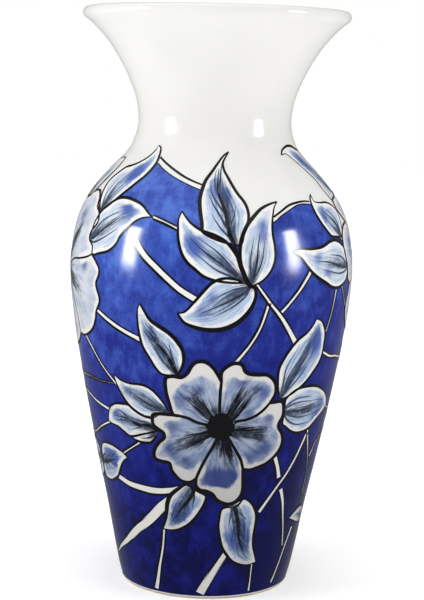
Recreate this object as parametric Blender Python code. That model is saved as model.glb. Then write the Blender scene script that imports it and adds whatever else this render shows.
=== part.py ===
"""Hand-painted talavera vase with a flared mouth, modelled as a potter builds it.

The clay is thrown as a pot and a neck, luted together with slip over a foot ring. A rolled lip
finishes the mouth. One coat of glaze covers the pot, one the neck and lip, and one the inside.
Metres, +Z up. The origin is on the vase's axis, in the plane that its foot stands on.
"""

import math

import bmesh
import bpy

# Driving dimensions of the finished, glazed vase.
HEIGHT = 0.300
BASE_RADIUS = 0.0447
BELLY_RADIUS = 0.0740
BELLY_HEIGHT = 0.163
NECK_RADIUS = 0.0400
NECK_HEIGHT = 0.2435
MOUTH_RADIUS = 0.0691

# Thicknesses, from the outside in.
WALL = 0.0056
GLAZE = 0.0005
GAP = 0.0003  # between two pieces that touch
FLOOR = 0.0070
FLOOR_CORNER = 0.0100  # radius inside, where the floor turns up into the wall

# Foot and joints.
GLAZE_LINE = 0.0014  # the outside glaze is wiped off below this height
FOOT_HEIGHT = 0.0036
FOOT_WIDTH = 0.0085
FOOT_ROUNDING = 0.0012
SLIP = 0.0008  # thickness of the slip in a luted joint
NECK_JOINT = 0.233  # height at which the neck is luted on to the pot

# Rolled lip: a round bead on the end of the flared wall, standing a little proud of it.
LIP_RADIUS = 0.0030
LIP_CENTRE = (MOUTH_RADIUS - LIP_RADIUS, HEIGHT - LIP_RADIUS)
WALL_RISE = 42  # degrees from level at which the flared wall meets the lip

SEGMENTS = 32  # facets round every turned piece
SPAN_STEPS = 2  # points from one knot of the outside profile to the next

# Knots of the outside profile, as radius and height: foot, cone, belly, shoulder, neck, mouth.
PROFILE = (
    (BASE_RADIUS, GLAZE_LINE),
    (0.0468, 0.0100),
    (0.0527, 0.0400),
    (0.0670, 0.1100),
    (BELLY_RADIUS, BELLY_HEIGHT),
    (0.0709, 0.1910),
    (0.0630, 0.2072),
    (0.0520, 0.2200),
    (0.0435, 0.2300),
    (NECK_RADIUS, NECK_HEIGHT),
    (0.0432, 0.2600),
    (0.0537, 0.2800),
    (0.0623, 0.2900),
    (0.0676, 0.2948),
)


def mixed(a, b, share):
    """The point that lies this share of the way from a to b."""
    return tuple(x + (y - x) * share for x, y in zip(a, b))


def smooth_curve(knots, steps):
    """A centripetal Catmull-Rom curve through the knots."""
    before = mixed(knots[1], knots[0], 2)
    after = mixed(knots[-2], knots[-1], 2)
    line = [before, *knots, after]
    points = []
    for p0, p1, p2, p3 in zip(line, line[1:], line[2:], line[3:]):
        t1 = math.dist(p0, p1) ** 0.5
        t2 = t1 + math.dist(p1, p2) ** 0.5
        t3 = t2 + math.dist(p2, p3) ** 0.5
        for step in range(steps):
            t = t1 + (t2 - t1) * step / steps
            a1 = mixed(p0, p1, t / t1)
            a2 = mixed(p1, p2, (t - t1) / (t2 - t1))
            a3 = mixed(p2, p3, (t - t2) / (t3 - t2))
            b1 = mixed(a1, a2, t / t2)
            b2 = mixed(a2, a3, (t - t1) / (t3 - t1))
            points.append(mixed(b1, b2, (t - t1) / (t2 - t1)))
    return [*points, knots[-1]]


def sunk(curve, depth):
    """The curve moved into the wall by depth, square to itself. Its points run upwards."""
    moved = []
    for index, (radius, height) in enumerate(curve):
        before = curve[max(index - 1, 0)]
        after = curve[min(index + 1, len(curve) - 1)]
        along = (after[0] - before[0], after[1] - before[1])
        length = math.hypot(*along)
        moved.append((radius - depth * along[1] / length, height + depth * along[0] / length))
    return moved


def at_height(curve, height):
    """The curve's point at a height, on the straight line between its neighbours."""
    for below, above in zip(curve, curve[1:]):
        if below[1] <= height <= above[1]:
            return mixed(below, above, (height - below[1]) / (above[1] - below[1]))
    raise ValueError(f"the curve doesn't reach {height}")


def upwards_from(curve, low):
    """The part of an upward curve above a height, with a point on that height."""
    return [at_height(curve, low), *(p for p in curve if p[1] > low + GAP)]


def up_to(curve, high):
    """The part of an upward curve below a height, with a point on that height."""
    return [*(p for p in curve if p[1] < high - GAP), at_height(curve, high)]


def between(curve, low, high):
    """The part of an upward curve between two heights, with a point on each of them."""
    return up_to(upwards_from(curve, low), high)


def arc(centre, radius, start, end, steps):
    """Points on a circle from one angle to another, in degrees, 0 outwards and 90 upwards."""
    angles = [math.radians(start + (end - start) * i / steps) for i in range(steps + 1)]
    return [(centre[0] + radius * math.cos(a), centre[1] + radius * math.sin(a)) for a in angles]


def floor_corner(wall, floor, radius):
    """The round corner between a floor at this height and a wall curve above it, from the floor up."""
    top = at_height(wall, floor + radius)
    return arc((top[0] - radius, top[1]), radius, -90, 0, 3)


def shell(outside, inside):
    """The closed outline between two curves that both run upwards."""
    return [*outside, *reversed(inside)]


OUTSIDE = smooth_curve(PROFILE, SPAN_STEPS)
CLAY_OUTSIDE = sunk(OUTSIDE, GLAZE + GAP)
CLAY_INSIDE = sunk(OUTSIDE, WALL - GLAZE - GAP)
FOOT_OUTER = BASE_RADIUS - GLAZE - GAP
FOOT_INNER = FOOT_OUTER - FOOT_WIDTH
POT_BOTTOM = FOOT_HEIGHT + SLIP + 2 * GAP
POT_FLOOR = POT_BOTTOM + FLOOR


def fired(name, colour, roughness):
    """A material of this colour and roughness."""
    material = bpy.data.materials.new(name)
    material.use_nodes = True
    shader = material.node_tree.nodes["Principled BSDF"]
    shader.inputs["Base Color"].default_value = (*colour, 1)
    shader.inputs["Roughness"].default_value = roughness
    shader.inputs["Metallic"].default_value = 0.0
    return material


def turned(name, outline, material):
    """A solid of revolution about Z. Its outline is closed, or starts and ends on the axis."""
    mesh = bmesh.new()
    corners = [mesh.verts.new((radius, 0, height)) for radius, height in outline]
    edges = [mesh.edges.new(pair) for pair in zip(corners, corners[1:])]
    if outline[0][0] > 0:
        edges.append(mesh.edges.new((corners[-1], corners[0])))
    bmesh.ops.spin(
        mesh,
        geom=corners + edges,
        cent=(0, 0, 0),
        axis=(0, 0, 1),
        angle=math.tau,
        steps=SEGMENTS,
        use_merge=True,
    )
    bmesh.ops.remove_doubles(mesh, verts=mesh.verts, dist=1e-6)
    bmesh.ops.recalc_face_normals(mesh, faces=mesh.faces)
    data = bpy.data.meshes.new(name)
    mesh.to_mesh(data)
    mesh.free()
    data.shade_smooth()
    data.set_sharp_from_angle(angle=math.radians(40))
    data.materials.append(material)
    made = bpy.data.objects.new(name, data)
    bpy.context.scene.collection.objects.link(made)


def foot_ring(clay):
    """The bare ring that the vase stands on, with rounded lower edges."""
    r = FOOT_ROUNDING
    outer_edge = arc((FOOT_OUTER - r, r), r, -90, 0, 3)
    inner_edge = arc((FOOT_INNER + r, r), r, 180, 270, 3)
    top = at_height(CLAY_OUTSIDE, FOOT_HEIGHT)
    turned("foot_ring", [*outer_edge, top, (FOOT_INNER, FOOT_HEIGHT), *inner_edge], clay)


def foot_slip(slip):
    """The slip that lutes the foot ring to the pot."""
    low = FOOT_HEIGHT + GAP
    outside = [at_height(CLAY_OUTSIDE, low), at_height(CLAY_OUTSIDE, low + SLIP)]
    inside = [(FOOT_INNER, low), (FOOT_INNER, low + SLIP)]
    turned("foot_slip", shell(outside, inside), slip)


def body_pot(clay):
    """The thrown pot: its floor, the cone, the belly and the shoulder up to the neck joint."""
    corner = floor_corner(CLAY_INSIDE, POT_FLOOR, FLOOR_CORNER)
    outside = [(0, POT_BOTTOM), *between(CLAY_OUTSIDE, POT_BOTTOM, NECK_JOINT)]
    wall = between(CLAY_INSIDE, POT_FLOOR + FLOOR_CORNER, NECK_JOINT)[1:]
    turned("body_pot", shell(outside, [(0, POT_FLOOR), *corner, *wall]), clay)


def neck_slip(slip):
    """The ring of slip in the joint between the pot and the neck."""
    low = NECK_JOINT + GAP
    high = low + SLIP
    turned("neck_slip", shell(between(CLAY_OUTSIDE, low, high), between(CLAY_INSIDE, low, high)), slip)


def neck_wall(clay):
    """The neck and the flared mouth, thrown as one ring."""
    low = NECK_JOINT + SLIP + 2 * GAP
    turned("neck_wall", shell(upwards_from(CLAY_OUTSIDE, low), upwards_from(CLAY_INSIDE, low)), clay)


def rim_roll(clay):
    """The rolled lip: half a round bead on the end of the flared wall."""
    bead = arc(LIP_CENTRE, LIP_RADIUS - GLAZE - GAP, WALL_RISE - 90, WALL_RISE + 90, 7)
    turned("rim_roll", bead, clay)


def body_glaze(glaze):
    """The outside coat on the pot, which carries the painting."""
    high = NECK_JOINT + GAP + SLIP / 2
    turned("body_glaze", shell(up_to(OUTSIDE, high), up_to(sunk(OUTSIDE, GLAZE), high)), glaze)


def neck_glaze(glaze):
    """The white outside coat on the neck and over the lip to its crown."""
    low = NECK_JOINT + 2 * GAP + SLIP / 2
    over = arc(LIP_CENTRE, LIP_RADIUS, WALL_RISE - 90, 88, 5)
    under = arc(LIP_CENTRE, LIP_RADIUS - GLAZE, WALL_RISE - 90, 88, 5)
    outside = [*upwards_from(OUTSIDE, low), *over]
    inside = [*upwards_from(sunk(OUTSIDE, GLAZE), low), *under]
    turned("neck_glaze", shell(outside, inside), glaze)


def lining(depth, floor, radius, lip_radius):
    """One face of the inside glaze: a line from the floor's middle up to the lip's crown."""
    wall = sunk(OUTSIDE, depth)
    corner = floor_corner(wall, floor, radius)
    lip = arc(LIP_CENTRE, lip_radius, WALL_RISE + 90, 93, 3)
    return [(0, floor), *corner, *upwards_from(wall, floor + radius)[1:], *lip]


def inside_glaze(glaze):
    """The white lining of the floor, the wall and the mouth, up to the lip's crown."""
    floor = POT_FLOOR + GAP
    radius = FLOOR_CORNER - GAP
    clay_side = lining(WALL - GLAZE, floor, radius, LIP_RADIUS - GLAZE)
    free_side = lining(WALL, floor + GLAZE, radius - GLAZE, LIP_RADIUS)
    turned("inside_glaze", shell(clay_side, free_side), glaze)


def main():
    for old in list(bpy.data.objects):
        bpy.data.objects.remove(old)
    clay = fired("bisque_clay", (0.74, 0.62, 0.48), 0.85)
    slip = fired("clay_slip", (0.66, 0.52, 0.38), 0.9)
    white = fired("white_glaze", (0.88, 0.87, 0.84), 0.12)
    cobalt = fired("cobalt_glaze", (0.05, 0.08, 0.42), 0.12)
    foot_ring(clay)
    foot_slip(slip)
    body_pot(clay)
    neck_slip(slip)
    neck_wall(clay)
    rim_roll(clay)
    body_glaze(cobalt)
    neck_glaze(white)
    inside_glaze(white)


main()
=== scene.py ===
"""Looks for a hand-painted vase: turned clay, tin-white coats and the cobalt painting on them."""

import bisect
import math
import random

import bmesh
import bpy
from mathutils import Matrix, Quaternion, Vector


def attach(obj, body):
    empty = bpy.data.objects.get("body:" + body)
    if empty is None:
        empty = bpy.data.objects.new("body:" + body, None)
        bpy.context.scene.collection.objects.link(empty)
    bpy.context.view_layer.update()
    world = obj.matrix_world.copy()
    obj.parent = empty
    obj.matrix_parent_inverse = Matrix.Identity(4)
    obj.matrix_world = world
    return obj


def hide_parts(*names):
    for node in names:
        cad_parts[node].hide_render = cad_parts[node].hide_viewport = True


bl_info = {
    "name": "Painted Vase",
    "version": (1, 0, 0),
    "blender": (4, 5, 0),
    "location": "View3D > Sidebar > Vase",
    "description": "Turns the vase's clay and coats, and paints its leaves, blossoms and stems",
    "category": "Object",
}

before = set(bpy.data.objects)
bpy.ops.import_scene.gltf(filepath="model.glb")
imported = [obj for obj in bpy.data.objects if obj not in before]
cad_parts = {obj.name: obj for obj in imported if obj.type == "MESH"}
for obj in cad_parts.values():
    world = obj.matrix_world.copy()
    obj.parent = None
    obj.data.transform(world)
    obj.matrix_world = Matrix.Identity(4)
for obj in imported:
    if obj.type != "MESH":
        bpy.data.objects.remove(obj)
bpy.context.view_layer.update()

# Places on the vase are given as (degrees round from the front, millimetres above the table).
MM = 0.001
TINY = 1e-6
PAINT_DEPTH = 0.44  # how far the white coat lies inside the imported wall, so that the paint has room
PAINT_TOP = 236.0  # no paint above this height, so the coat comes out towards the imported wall
BARE_START = 268.0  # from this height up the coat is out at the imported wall
SLIGHT_DEPTH = 0.02  # the least depth of the coat
COAT_THICKNESS = 0.25
COAT_START = 1.1  # the height where the coat begins
COAT_JOINT = 233.85  # where the pot's coat meets the neck's
COAT_STEP = 1.5  # height of each row of the coats
SMOOTH_END = 289.5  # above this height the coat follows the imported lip's own points
LIP_LAP = 0.34  # how far the neck's coat laps over the crown towards the inside one
CREASE_REACH = 0.5  # points closer in height than this can belong to the crease under the lip
OUTWARD_SHARE = 0.05  # a face that looks outwards at least this much is on the outside
OUTLINE_STEPS = 3  # short edges for each edge of a packed outline
WHEEL_RADIUS = 40.0
CORNER_TURN = math.radians(34)  # a sharper bend than this stays a corner
ROOT_BODY = "root"

# Lifts above the white coat, in millimetres, from the ground up to the flower's outlines.
GROUND_LIFT = 0.05
GARLAND_LIFT = 0.07
STEM_LIFT = 0.08
STEM_LINE_LIFT = 0.12
LEAF_LIFT = 0.19
LEAF_LINE_LIFT = 0.20
PETAL_LIFT = 0.23
PETAL_LINE_LIFT = 0.25
DISC_LIFT = 0.31
PAINT_ROOT = -0.04  # painted patches reach this far into the white


# ---------------------------------------------------------------- the wall


def coat_points():
    """(height, radius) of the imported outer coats, in millimetres, from the foot to the lip's crown."""
    found = {}
    for name in ("body_glaze", "neck_glaze"):
        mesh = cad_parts[name].data
        for face in mesh.polygons:
            side = Vector((face.center.x, face.center.y, 0)).normalized()
            if face.normal.dot(side) < OUTWARD_SHARE:
                continue
            for index in face.vertices:
                corner = mesh.vertices[index].co
                height = round(corner.z / MM, 2)
                radius = math.hypot(corner.x, corner.y) / MM
                found[height] = max(radius, found.get(height, 0))
    points = sorted(found.items())
    index = 1
    while index < len(points) - 1:
        if in_crease(*points[index - 1:index + 2]):
            del points[index]
            index = 1
        else:
            index += 1
    return points


def in_crease(before, point, after):
    """Whether a point lies down in the crease under the lip, which the thick coat fills."""
    close = min(point[0] - before[0], after[0] - point[0]) < CREASE_REACH
    return close and point[1] < min(before[1], after[1])


COAT = coat_points()
COAT_HEIGHTS = [height for height, radius in COAT]


def cubic(a, lean_a, b, lean_b, t):
    """A value between a and b, with their leans at the ends."""
    return (
        (2 * t**3 - 3 * t**2 + 1) * a
        + (t**3 - 2 * t**2 + t) * lean_a
        + (3 * t**2 - 2 * t**3) * b
        + (t**3 - t**2) * lean_b
    )


def coat_slope(index):
    """The coat's lean, radius over height, at one of its points."""
    low, high = max(index - 1, 0), min(index + 1, len(COAT) - 1)
    return (COAT[high][1] - COAT[low][1]) / (COAT[high][0] - COAT[low][0])


def wall(height):
    """(radius, lean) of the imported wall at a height, smoothly between its points."""
    index = bisect.bisect_right(COAT_HEIGHTS, height) - 1
    index = min(max(index, 0), len(COAT) - 2)
    (z0, r0), (z1, r1) = COAT[index], COAT[index + 1]
    span = z1 - z0
    t = min(max((height - z0) / span, 0.0), 1.0)
    m0, m1 = coat_slope(index) * span, coat_slope(index + 1) * span
    lean = (
        (6 * t**2 - 6 * t) * (r0 - r1) + (3 * t**2 - 4 * t + 1) * m0 + (3 * t**2 - 2 * t) * m1
    ) / span
    return cubic(r0, m0, r1, m1, t), lean


def paint_depth(height):
    """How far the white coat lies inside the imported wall: nothing on the mouth, which has no paint."""
    share = min(max((height - PAINT_TOP) / (BARE_START - PAINT_TOP), 0.0), 1.0)
    return PAINT_DEPTH * (1 - share * share * (3 - 2 * share)) + SLIGHT_DEPTH


def facing(angle, height):
    """The wall's outward direction at a place."""
    lean = wall(height)[1]
    out = 1 / math.hypot(1, lean)
    turn = math.radians(angle)
    return Vector((out * math.sin(turn), -out * math.cos(turn), -lean * out))


def on_wall(angle, height, lift):
    """The point at a place on the white coat, raised by lift millimetres."""
    radius = wall(height)[0]
    turn = math.radians(angle)
    point = Vector((radius * math.sin(turn), -radius * math.cos(turn), height))
    return (point + facing(angle, height) * (lift - paint_depth(height))) * MM


def degree_width(height):
    """Millimetres of wall in one degree at a height."""
    return math.radians(wall(height)[0])


# ---------------------------------------------------------------- brush paths


def gap(a, b):
    """Millimetres of wall between two places."""
    return math.hypot((a[0] - b[0]) * degree_width((a[1] + b[1]) / 2), a[1] - b[1])


def flowing(points, step):
    """A smooth path through given points, with a place about every step millimetres."""
    ends = [points[0], *points, points[-1]]
    path = []
    for before, a, b, after in zip(ends, ends[1:], ends[2:], ends[3:]):
        knots = [0.0]
        for start, end in ((before, a), (a, b), (b, after)):
            knots.append(knots[-1] + max(gap(start, end), 1e-3) ** 0.5)
        count = max(1, round(gap(a, b) / step))
        for number in range(count):
            t = knots[1] + (knots[2] - knots[1]) * number / count
            path.append(spline_place((before, a, b, after), knots, t))
    path.append(points[-1])
    return path


def spline_place(points, knots, t):
    """One place of a centripetal Catmull-Rom span."""
    level = list(points)
    for width in (1, 2):
        blended = []
        for index in range(len(level) - 1):
            start, end = knots[index], knots[index + width]
            share = (t - start) / (end - start)
            blended.append(between(level[index], level[index + 1], share))
        level = blended
    share = (t - knots[1]) / (knots[2] - knots[1])
    return between(level[0], level[1], share)


def between(a, b, share):
    """The place that lies a share of the way from a to b."""
    return (a[0] + (b[0] - a[0]) * share, a[1] + (b[1] - a[1]) * share)


def spread(path, count):
    """The path again, as count places evenly along it."""
    reached = [0.0]
    for a, b in zip(path, path[1:]):
        reached.append(reached[-1] + gap(a, b))
    places = []
    for number in range(count):
        goal = reached[-1] * number / (count - 1)
        index = min(max(bisect.bisect_right(reached, goal) - 1, 0), len(path) - 2)
        length = reached[index + 1] - reached[index]
        share = (goal - reached[index]) / length if length else 0.0
        places.append(between(path[index], path[index + 1], min(share, 1.0)))
    return places


def beside(path, offsets):
    """The path moved sideways, by one offset in millimetres for each place."""
    moved = []
    for index, ((angle, height), shift) in enumerate(zip(path, offsets)):
        before, after = path[max(index - 1, 0)], path[min(index + 1, len(path) - 1)]
        width = degree_width(height)
        across, up = (after[0] - before[0]) * width, after[1] - before[1]
        length = math.hypot(across, up) or 1.0
        moved.append((angle - up / length * shift / width, height + across / length * shift))
    return moved


def tapered(count, width, start, end, swell):
    """Half widths of a brush line: start and end are shares of its width, fullest at swell."""
    widths = []
    for index in range(count):
        t = index / max(count - 1, 1)
        edge, share = (start, t / swell) if t < swell else (end, (1 - t) / (1 - swell))
        widths.append(width / 2 * (edge + (1 - edge) * math.sin(math.pi / 2 * share)))
    return widths


def brushed(points):
    """A smooth path through given points, fine enough for a line of paint."""
    return flowing(points, SETTINGS.brush_step / MM)


def stroke(path, width, taper, ink):
    """A line of paint: its path, its half widths and its ink. taper is (start, end, swell)."""
    return path, tapered(len(path), width, *taper), ink


# ---------------------------------------------------------------- node trees


def put(tree, kind, inputs=None, **settings):
    """A new node with its settings, its values and its links."""
    node = tree.nodes.new(kind)
    for key, value in settings.items():
        setattr(node, key, value)
    for socket, value in (inputs or {}).items():
        if isinstance(value, bpy.types.NodeSocket):
            tree.links.new(value, node.inputs[socket])
        else:
            node.inputs[socket].default_value = value
    return node


def new_shape_tree(name, **sizes):
    """A geometry tree with a geometry input, one input for each size and a material."""
    tree = bpy.data.node_groups.new(name, "GeometryNodeTree")
    tree.interface.new_socket("Geometry", in_out="INPUT", socket_type="NodeSocketGeometry")
    for size, kind in sizes.items():
        tree.interface.new_socket(size, in_out="INPUT", socket_type=kind)
    tree.interface.new_socket("Finish", in_out="INPUT", socket_type="NodeSocketMaterial")
    tree.interface.new_socket("Geometry", in_out="OUTPUT", socket_type="NodeSocketGeometry")
    return tree, put(tree, "NodeGroupInput").outputs


def close_shape_tree(tree, shape, given):
    """Gives the shape its material and hands it out."""
    solid = put(tree, "GeometryNodeRealizeInstances", {"Geometry": shape}).outputs["Geometry"]
    done = put(tree, "GeometryNodeSetMaterial", {"Geometry": solid, "Material": given["Finish"]})
    put(tree, "NodeGroupOutput", {"Geometry": done.outputs["Geometry"]})
    return tree


def wheel_tree():
    """Turns a flat outline, given as (radius - wheel radius, -height), round the vase's axis."""
    tree, given = new_shape_tree(
        "turned_on_the_wheel", Sides="NodeSocketInt", Radius="NodeSocketFloat"
    )
    ring = put(
        tree,
        "GeometryNodeCurvePrimitiveCircle",
        {"Resolution": given["Sides"], "Radius": given["Radius"]},
    ).outputs["Curve"]
    level = put(tree, "GeometryNodeSetCurveNormal", {"Curve": ring}, mode="Z_UP").outputs["Curve"]
    outline = put(tree, "GeometryNodeMeshToCurve", {"Mesh": given["Geometry"]}).outputs["Curve"]
    turned = put(
        tree, "GeometryNodeCurveToMesh", {"Curve": level, "Profile Curve": outline}
    ).outputs["Mesh"]
    joined = put(
        tree, "GeometryNodeMergeByDistance", {"Geometry": turned, "Distance": 0.001 * MM}
    ).outputs["Geometry"]
    return close_shape_tree(tree, joined, given)


def brush_tree():
    """Lays a flat line of paint along each path, as wide as the path says and facing outwards."""
    tree, given = new_shape_tree("line_of_paint", Relief="NodeSocketFloat")
    path = put(tree, "GeometryNodeMeshToCurve", {"Mesh": given["Geometry"]}).outputs["Curve"]
    outward = put(tree, "GeometryNodeInputNamedAttribute", {"Name": "facing"}, data_type="FLOAT_VECTOR")
    held = put(
        tree,
        "GeometryNodeSetCurveNormal",
        {"Curve": path, "Normal": outward.outputs["Attribute"]},
        mode="FREE",
    ).outputs["Curve"]
    bristles = put(
        tree, "GeometryNodeCurvePrimitiveQuadrilateral", {"Width": given["Relief"], "Height": 2.0}
    ).outputs["Curve"]
    width = put(tree, "GeometryNodeInputNamedAttribute", {"Name": "half_width"}, data_type="FLOAT")
    line = put(
        tree,
        "GeometryNodeCurveToMesh",
        {
            "Curve": held,
            "Profile Curve": bristles,
            "Scale": width.outputs["Attribute"],
            "Fill Caps": True,
        },
    ).outputs["Mesh"]
    return close_shape_tree(tree, line, given)


def settle(name, flat, tree, sizes, finish):
    """Runs a tree on a flat mesh and keeps the result as a plain mesh object."""
    carrier = bpy.data.objects.new(name + "_flat", flat)
    bpy.context.scene.collection.objects.link(carrier)
    modifier = carrier.modifiers.new("shape", "NODES")
    modifier.node_group = tree
    values = {**sizes, "Finish": finish}
    for item in tree.interface.items_tree:
        if item.in_out == "INPUT" and item.name in values:
            modifier[item.identifier] = values[item.name]
    carrier.update_tag()
    graph = bpy.context.evaluated_depsgraph_get()
    mesh = bpy.data.meshes.new_from_object(carrier.evaluated_get(graph))
    bpy.data.objects.remove(carrier)
    bpy.data.meshes.remove(flat)
    mesh.name = name
    return mesh


def place(name, mesh, finish, slot, nodes=()):
    """Puts a finished mesh in the scene as a piece of the vase."""
    shape = bmesh.new()
    shape.from_mesh(mesh)
    bmesh.ops.recalc_face_normals(shape, faces=shape.faces)
    for face in shape.faces:
        face.smooth = True
    shape.to_mesh(mesh)
    shape.free()
    mesh.set_sharp_from_angle(angle=CORNER_TURN)
    mesh.materials.clear()
    mesh.materials.append(finish)
    piece = bpy.data.objects.new(name, mesh)
    bpy.context.scene.collection.objects.link(piece)
    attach(piece, ROOT_BODY)
    if nodes:
        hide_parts(*nodes)


# ---------------------------------------------------------------- turned pieces


def node_outline(name):
    """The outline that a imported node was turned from: (radius, height) pairs, and whether it closes."""
    shape = bmesh.new()
    shape.from_mesh(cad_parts[name].data)
    bmesh.ops.remove_doubles(shape, verts=shape.verts, dist=0.001 * MM)
    near = 0.01 * MM
    kept = [v for v in shape.verts if abs(v.co.y) < near and v.co.x > -near]
    links = {
        v: [e.other_vert(v) for e in v.link_edges if e.other_vert(v) in kept] for v in kept
    }
    ends = [v for v in kept if len(links[v]) == 1]
    start = ends[0] if ends else kept[0]
    chain, last = [start], None
    while True:
        onward = [v for v in links[chain[-1]] if v is not last and v is not start]
        if not onward:
            break
        last = chain[-1]
        chain.append(onward[0])
        if len(chain) > len(kept):
            break
    outline = [(v.co.x / MM, v.co.z / MM) for v in chain]
    shape.free()
    return outline, not ends


def rounded(outline, closed):
    """An outline with its gentle bends smoothed and its corners kept."""
    count = len(outline)
    result = []
    for index in range(count if closed else count - 1):
        a, b = outline[index], outline[(index + 1) % count]
        before = outline[index - 1] if closed or index else a
        after = outline[(index + 2) % count] if closed or index + 2 < count else b
        if turn_at(before, a, b) > CORNER_TURN:
            before = a
        if turn_at(a, b, after) > CORNER_TURN:
            after = b
        for number in range(OUTLINE_STEPS):
            result.append(hermite(before, a, b, after, number / OUTLINE_STEPS))
    if not closed:
        result.append(outline[-1])
    return result


def turn_at(a, b, c):
    """How sharply an outline bends at b, in radians."""
    first, second = Vector((b[0] - a[0], b[1] - a[1])), Vector((c[0] - b[0], c[1] - b[1]))
    if min(first.length, second.length) < TINY:
        return 0.0
    return first.angle(second)


def hermite(before, a, b, after, t):
    """A place between a and b on a curve whose leans come from the neighbours."""
    span = math.dist(a, b)
    pair = []
    for axis in (0, 1):
        lean_a = (b[axis] - before[axis]) / max(math.dist(before, a) + span, TINY) * span
        lean_b = (after[axis] - a[axis]) / max(math.dist(b, after) + span, TINY) * span
        if before == a:
            lean_a = b[axis] - a[axis]
        if after == b:
            lean_b = b[axis] - a[axis]
        pair.append(cubic(a[axis], lean_a, b[axis], lean_b, t))
    return tuple(pair)


def turn(name, outline, closed, finish, slot, node):
    """A piece turned on the wheel from an outline of (radius, height) pairs in millimetres."""
    flat = bpy.data.meshes.new(name + "_outline")
    points = [((r - WHEEL_RADIUS) * MM, -max(z, 0.0) * MM, 0) for r, z in outline]
    edges = [(i, i + 1) for i in range(len(points) - 1)]
    if closed:
        edges.append((len(points) - 1, 0))
    flat.from_pydata(points, edges, [])
    sizes = {"Sides": SETTINGS.sides, "Radius": WHEEL_RADIUS * MM}
    mesh = settle(name, flat, TREES["wheel"], sizes, finish)
    place(name, mesh, finish, slot, [node])


def coat_outline(low, high):
    """The outline of an outer coat between two heights, sunk to leave room for the paint."""
    even_end = min(high, SMOOTH_END)
    count = round((even_end - low) / COAT_STEP)
    heights = [low + (even_end - low) * n / count for n in range(count)]
    heights += [z for z in COAT_HEIGHTS if SMOOTH_END <= z < high]
    heights.append(high)
    outside, inside = [], []
    for height in heights:
        radius, lean = wall(height)
        out = 1 / math.hypot(1, lean)
        depth = paint_depth(height)
        for pairs, sunk in ((outside, depth), (inside, depth + COAT_THICKNESS)):
            pairs.append((radius - sunk * out, height + sunk * lean * out))
    if high > COAT_JOINT:
        crown_radius, crown_height = outside[-1]
        outside.append((crown_radius - LIP_LAP, crown_height - SLIGHT_DEPTH))
    return outside + inside[::-1]


# ---------------------------------------------------------------- patches and lines of paint


def patch(name, rows, lift, marks, finish, slot, ring=False):
    """A thin closed patch on the wall. rows are rows of places; marks are named rows of numbers."""
    shape = bmesh.new()
    layers = {mark: shape.verts.layers.float.new(mark) for mark in marks}
    uv = shape.loops.layers.uv.new("paint_map")
    wide, tall = len(rows[0]), len(rows)
    sheets = []
    for depth in (lift, PAINT_ROOT):
        sheet = []
        for r, row in enumerate(rows):
            line = []
            for c, (angle, height) in enumerate(row):
                corner = shape.verts.new(on_wall(angle, height, depth))
                for mark, layer in layers.items():
                    corner[layer] = marks[mark][r][c]
                line.append(corner)
            sheet.append(line)
        sheets.append(sheet)
    top, low = sheets
    spots = {}
    for sheet in sheets:
        for r, line in enumerate(sheet):
            spots.update({corner: (c, r) for c, corner in enumerate(line)})
        for r in range(tall - 1):
            for c in range(wide - 1):
                shape.faces.new((sheet[r][c], sheet[r][c + 1], sheet[r + 1][c + 1], sheet[r + 1][c]))
    border = [[(r, c) for c in range(wide)] for r in (0, tall - 1)]
    if not ring:
        border += [[(r, c) for r in range(tall)] for c in (0, wide - 1)]
    for run in border:
        for (r0, c0), (r1, c1) in zip(run, run[1:]):
            shape.faces.new((top[r0][c0], top[r1][c1], low[r1][c1], low[r0][c0]))
    for face in shape.faces:
        for loop in face.loops:
            c, r = spots[loop.vert]
            loop[uv].uv = (c / (wide - 1), r / (tall - 1))
    bmesh.ops.remove_doubles(shape, verts=shape.verts, dist=0.002 * MM)
    mesh = bpy.data.meshes.new(name)
    shape.to_mesh(mesh)
    shape.free()
    place(name, mesh, finish, slot)


def lines(name, strokes, lift, relief, finish, slot):
    """Lines of paint laid along paths. Each stroke is (path, half widths, ink)."""
    corners, edges, widths, inks, outward = [], [], [], [], []
    for path, halves, ink in strokes:
        first = len(corners)
        for (angle, height), half in zip(path, halves):
            corners.append(on_wall(angle, height, lift))
            outward.append(facing(angle, height))
            widths.append(max(half, THINNEST_HALF) * MM)
            inks.append(ink)
        edges += [(n, n + 1) for n in range(first, len(corners) - 1)]
    flat = bpy.data.meshes.new(name + "_paths")
    flat.from_pydata(corners, edges, [])
    for mark, kind, values, field in (
        ("half_width", "FLOAT", widths, "value"),
        ("ink", "FLOAT", inks, "value"),
        ("facing", "FLOAT_VECTOR", [n for v in outward for n in v], "vector"),
    ):
        flat.attributes.new(mark, kind, "POINT").data.foreach_set(field, values)
    mesh = settle(name, flat, TREES["brush"], {"Relief": relief}, finish)
    place(name, mesh, finish, slot)


def ink_lines(name, strokes, lift):
    """Dark lines, such as outlines and veins."""
    lines(name, strokes, lift, LINE_RELIEF, PAINTS["ink"], "cobalt_glaze")


def nearest(point, path):
    """Millimetres from a place to the nearest place of a path."""
    width = degree_width(point[1])
    return min(math.hypot((point[0] - a) * width, point[1] - h) for a, h in path)


def spot_strength(point, spots):
    """How much of a brushed spot lies at a place. Each spot is (angle, height, radius)."""
    strength = 0.0
    width = degree_width(point[1])
    for angle, height, radius in spots:
        away = math.hypot((point[0] - angle) * width, point[1] - height) / radius
        strength += math.exp(-(away**2))
    return strength


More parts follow.
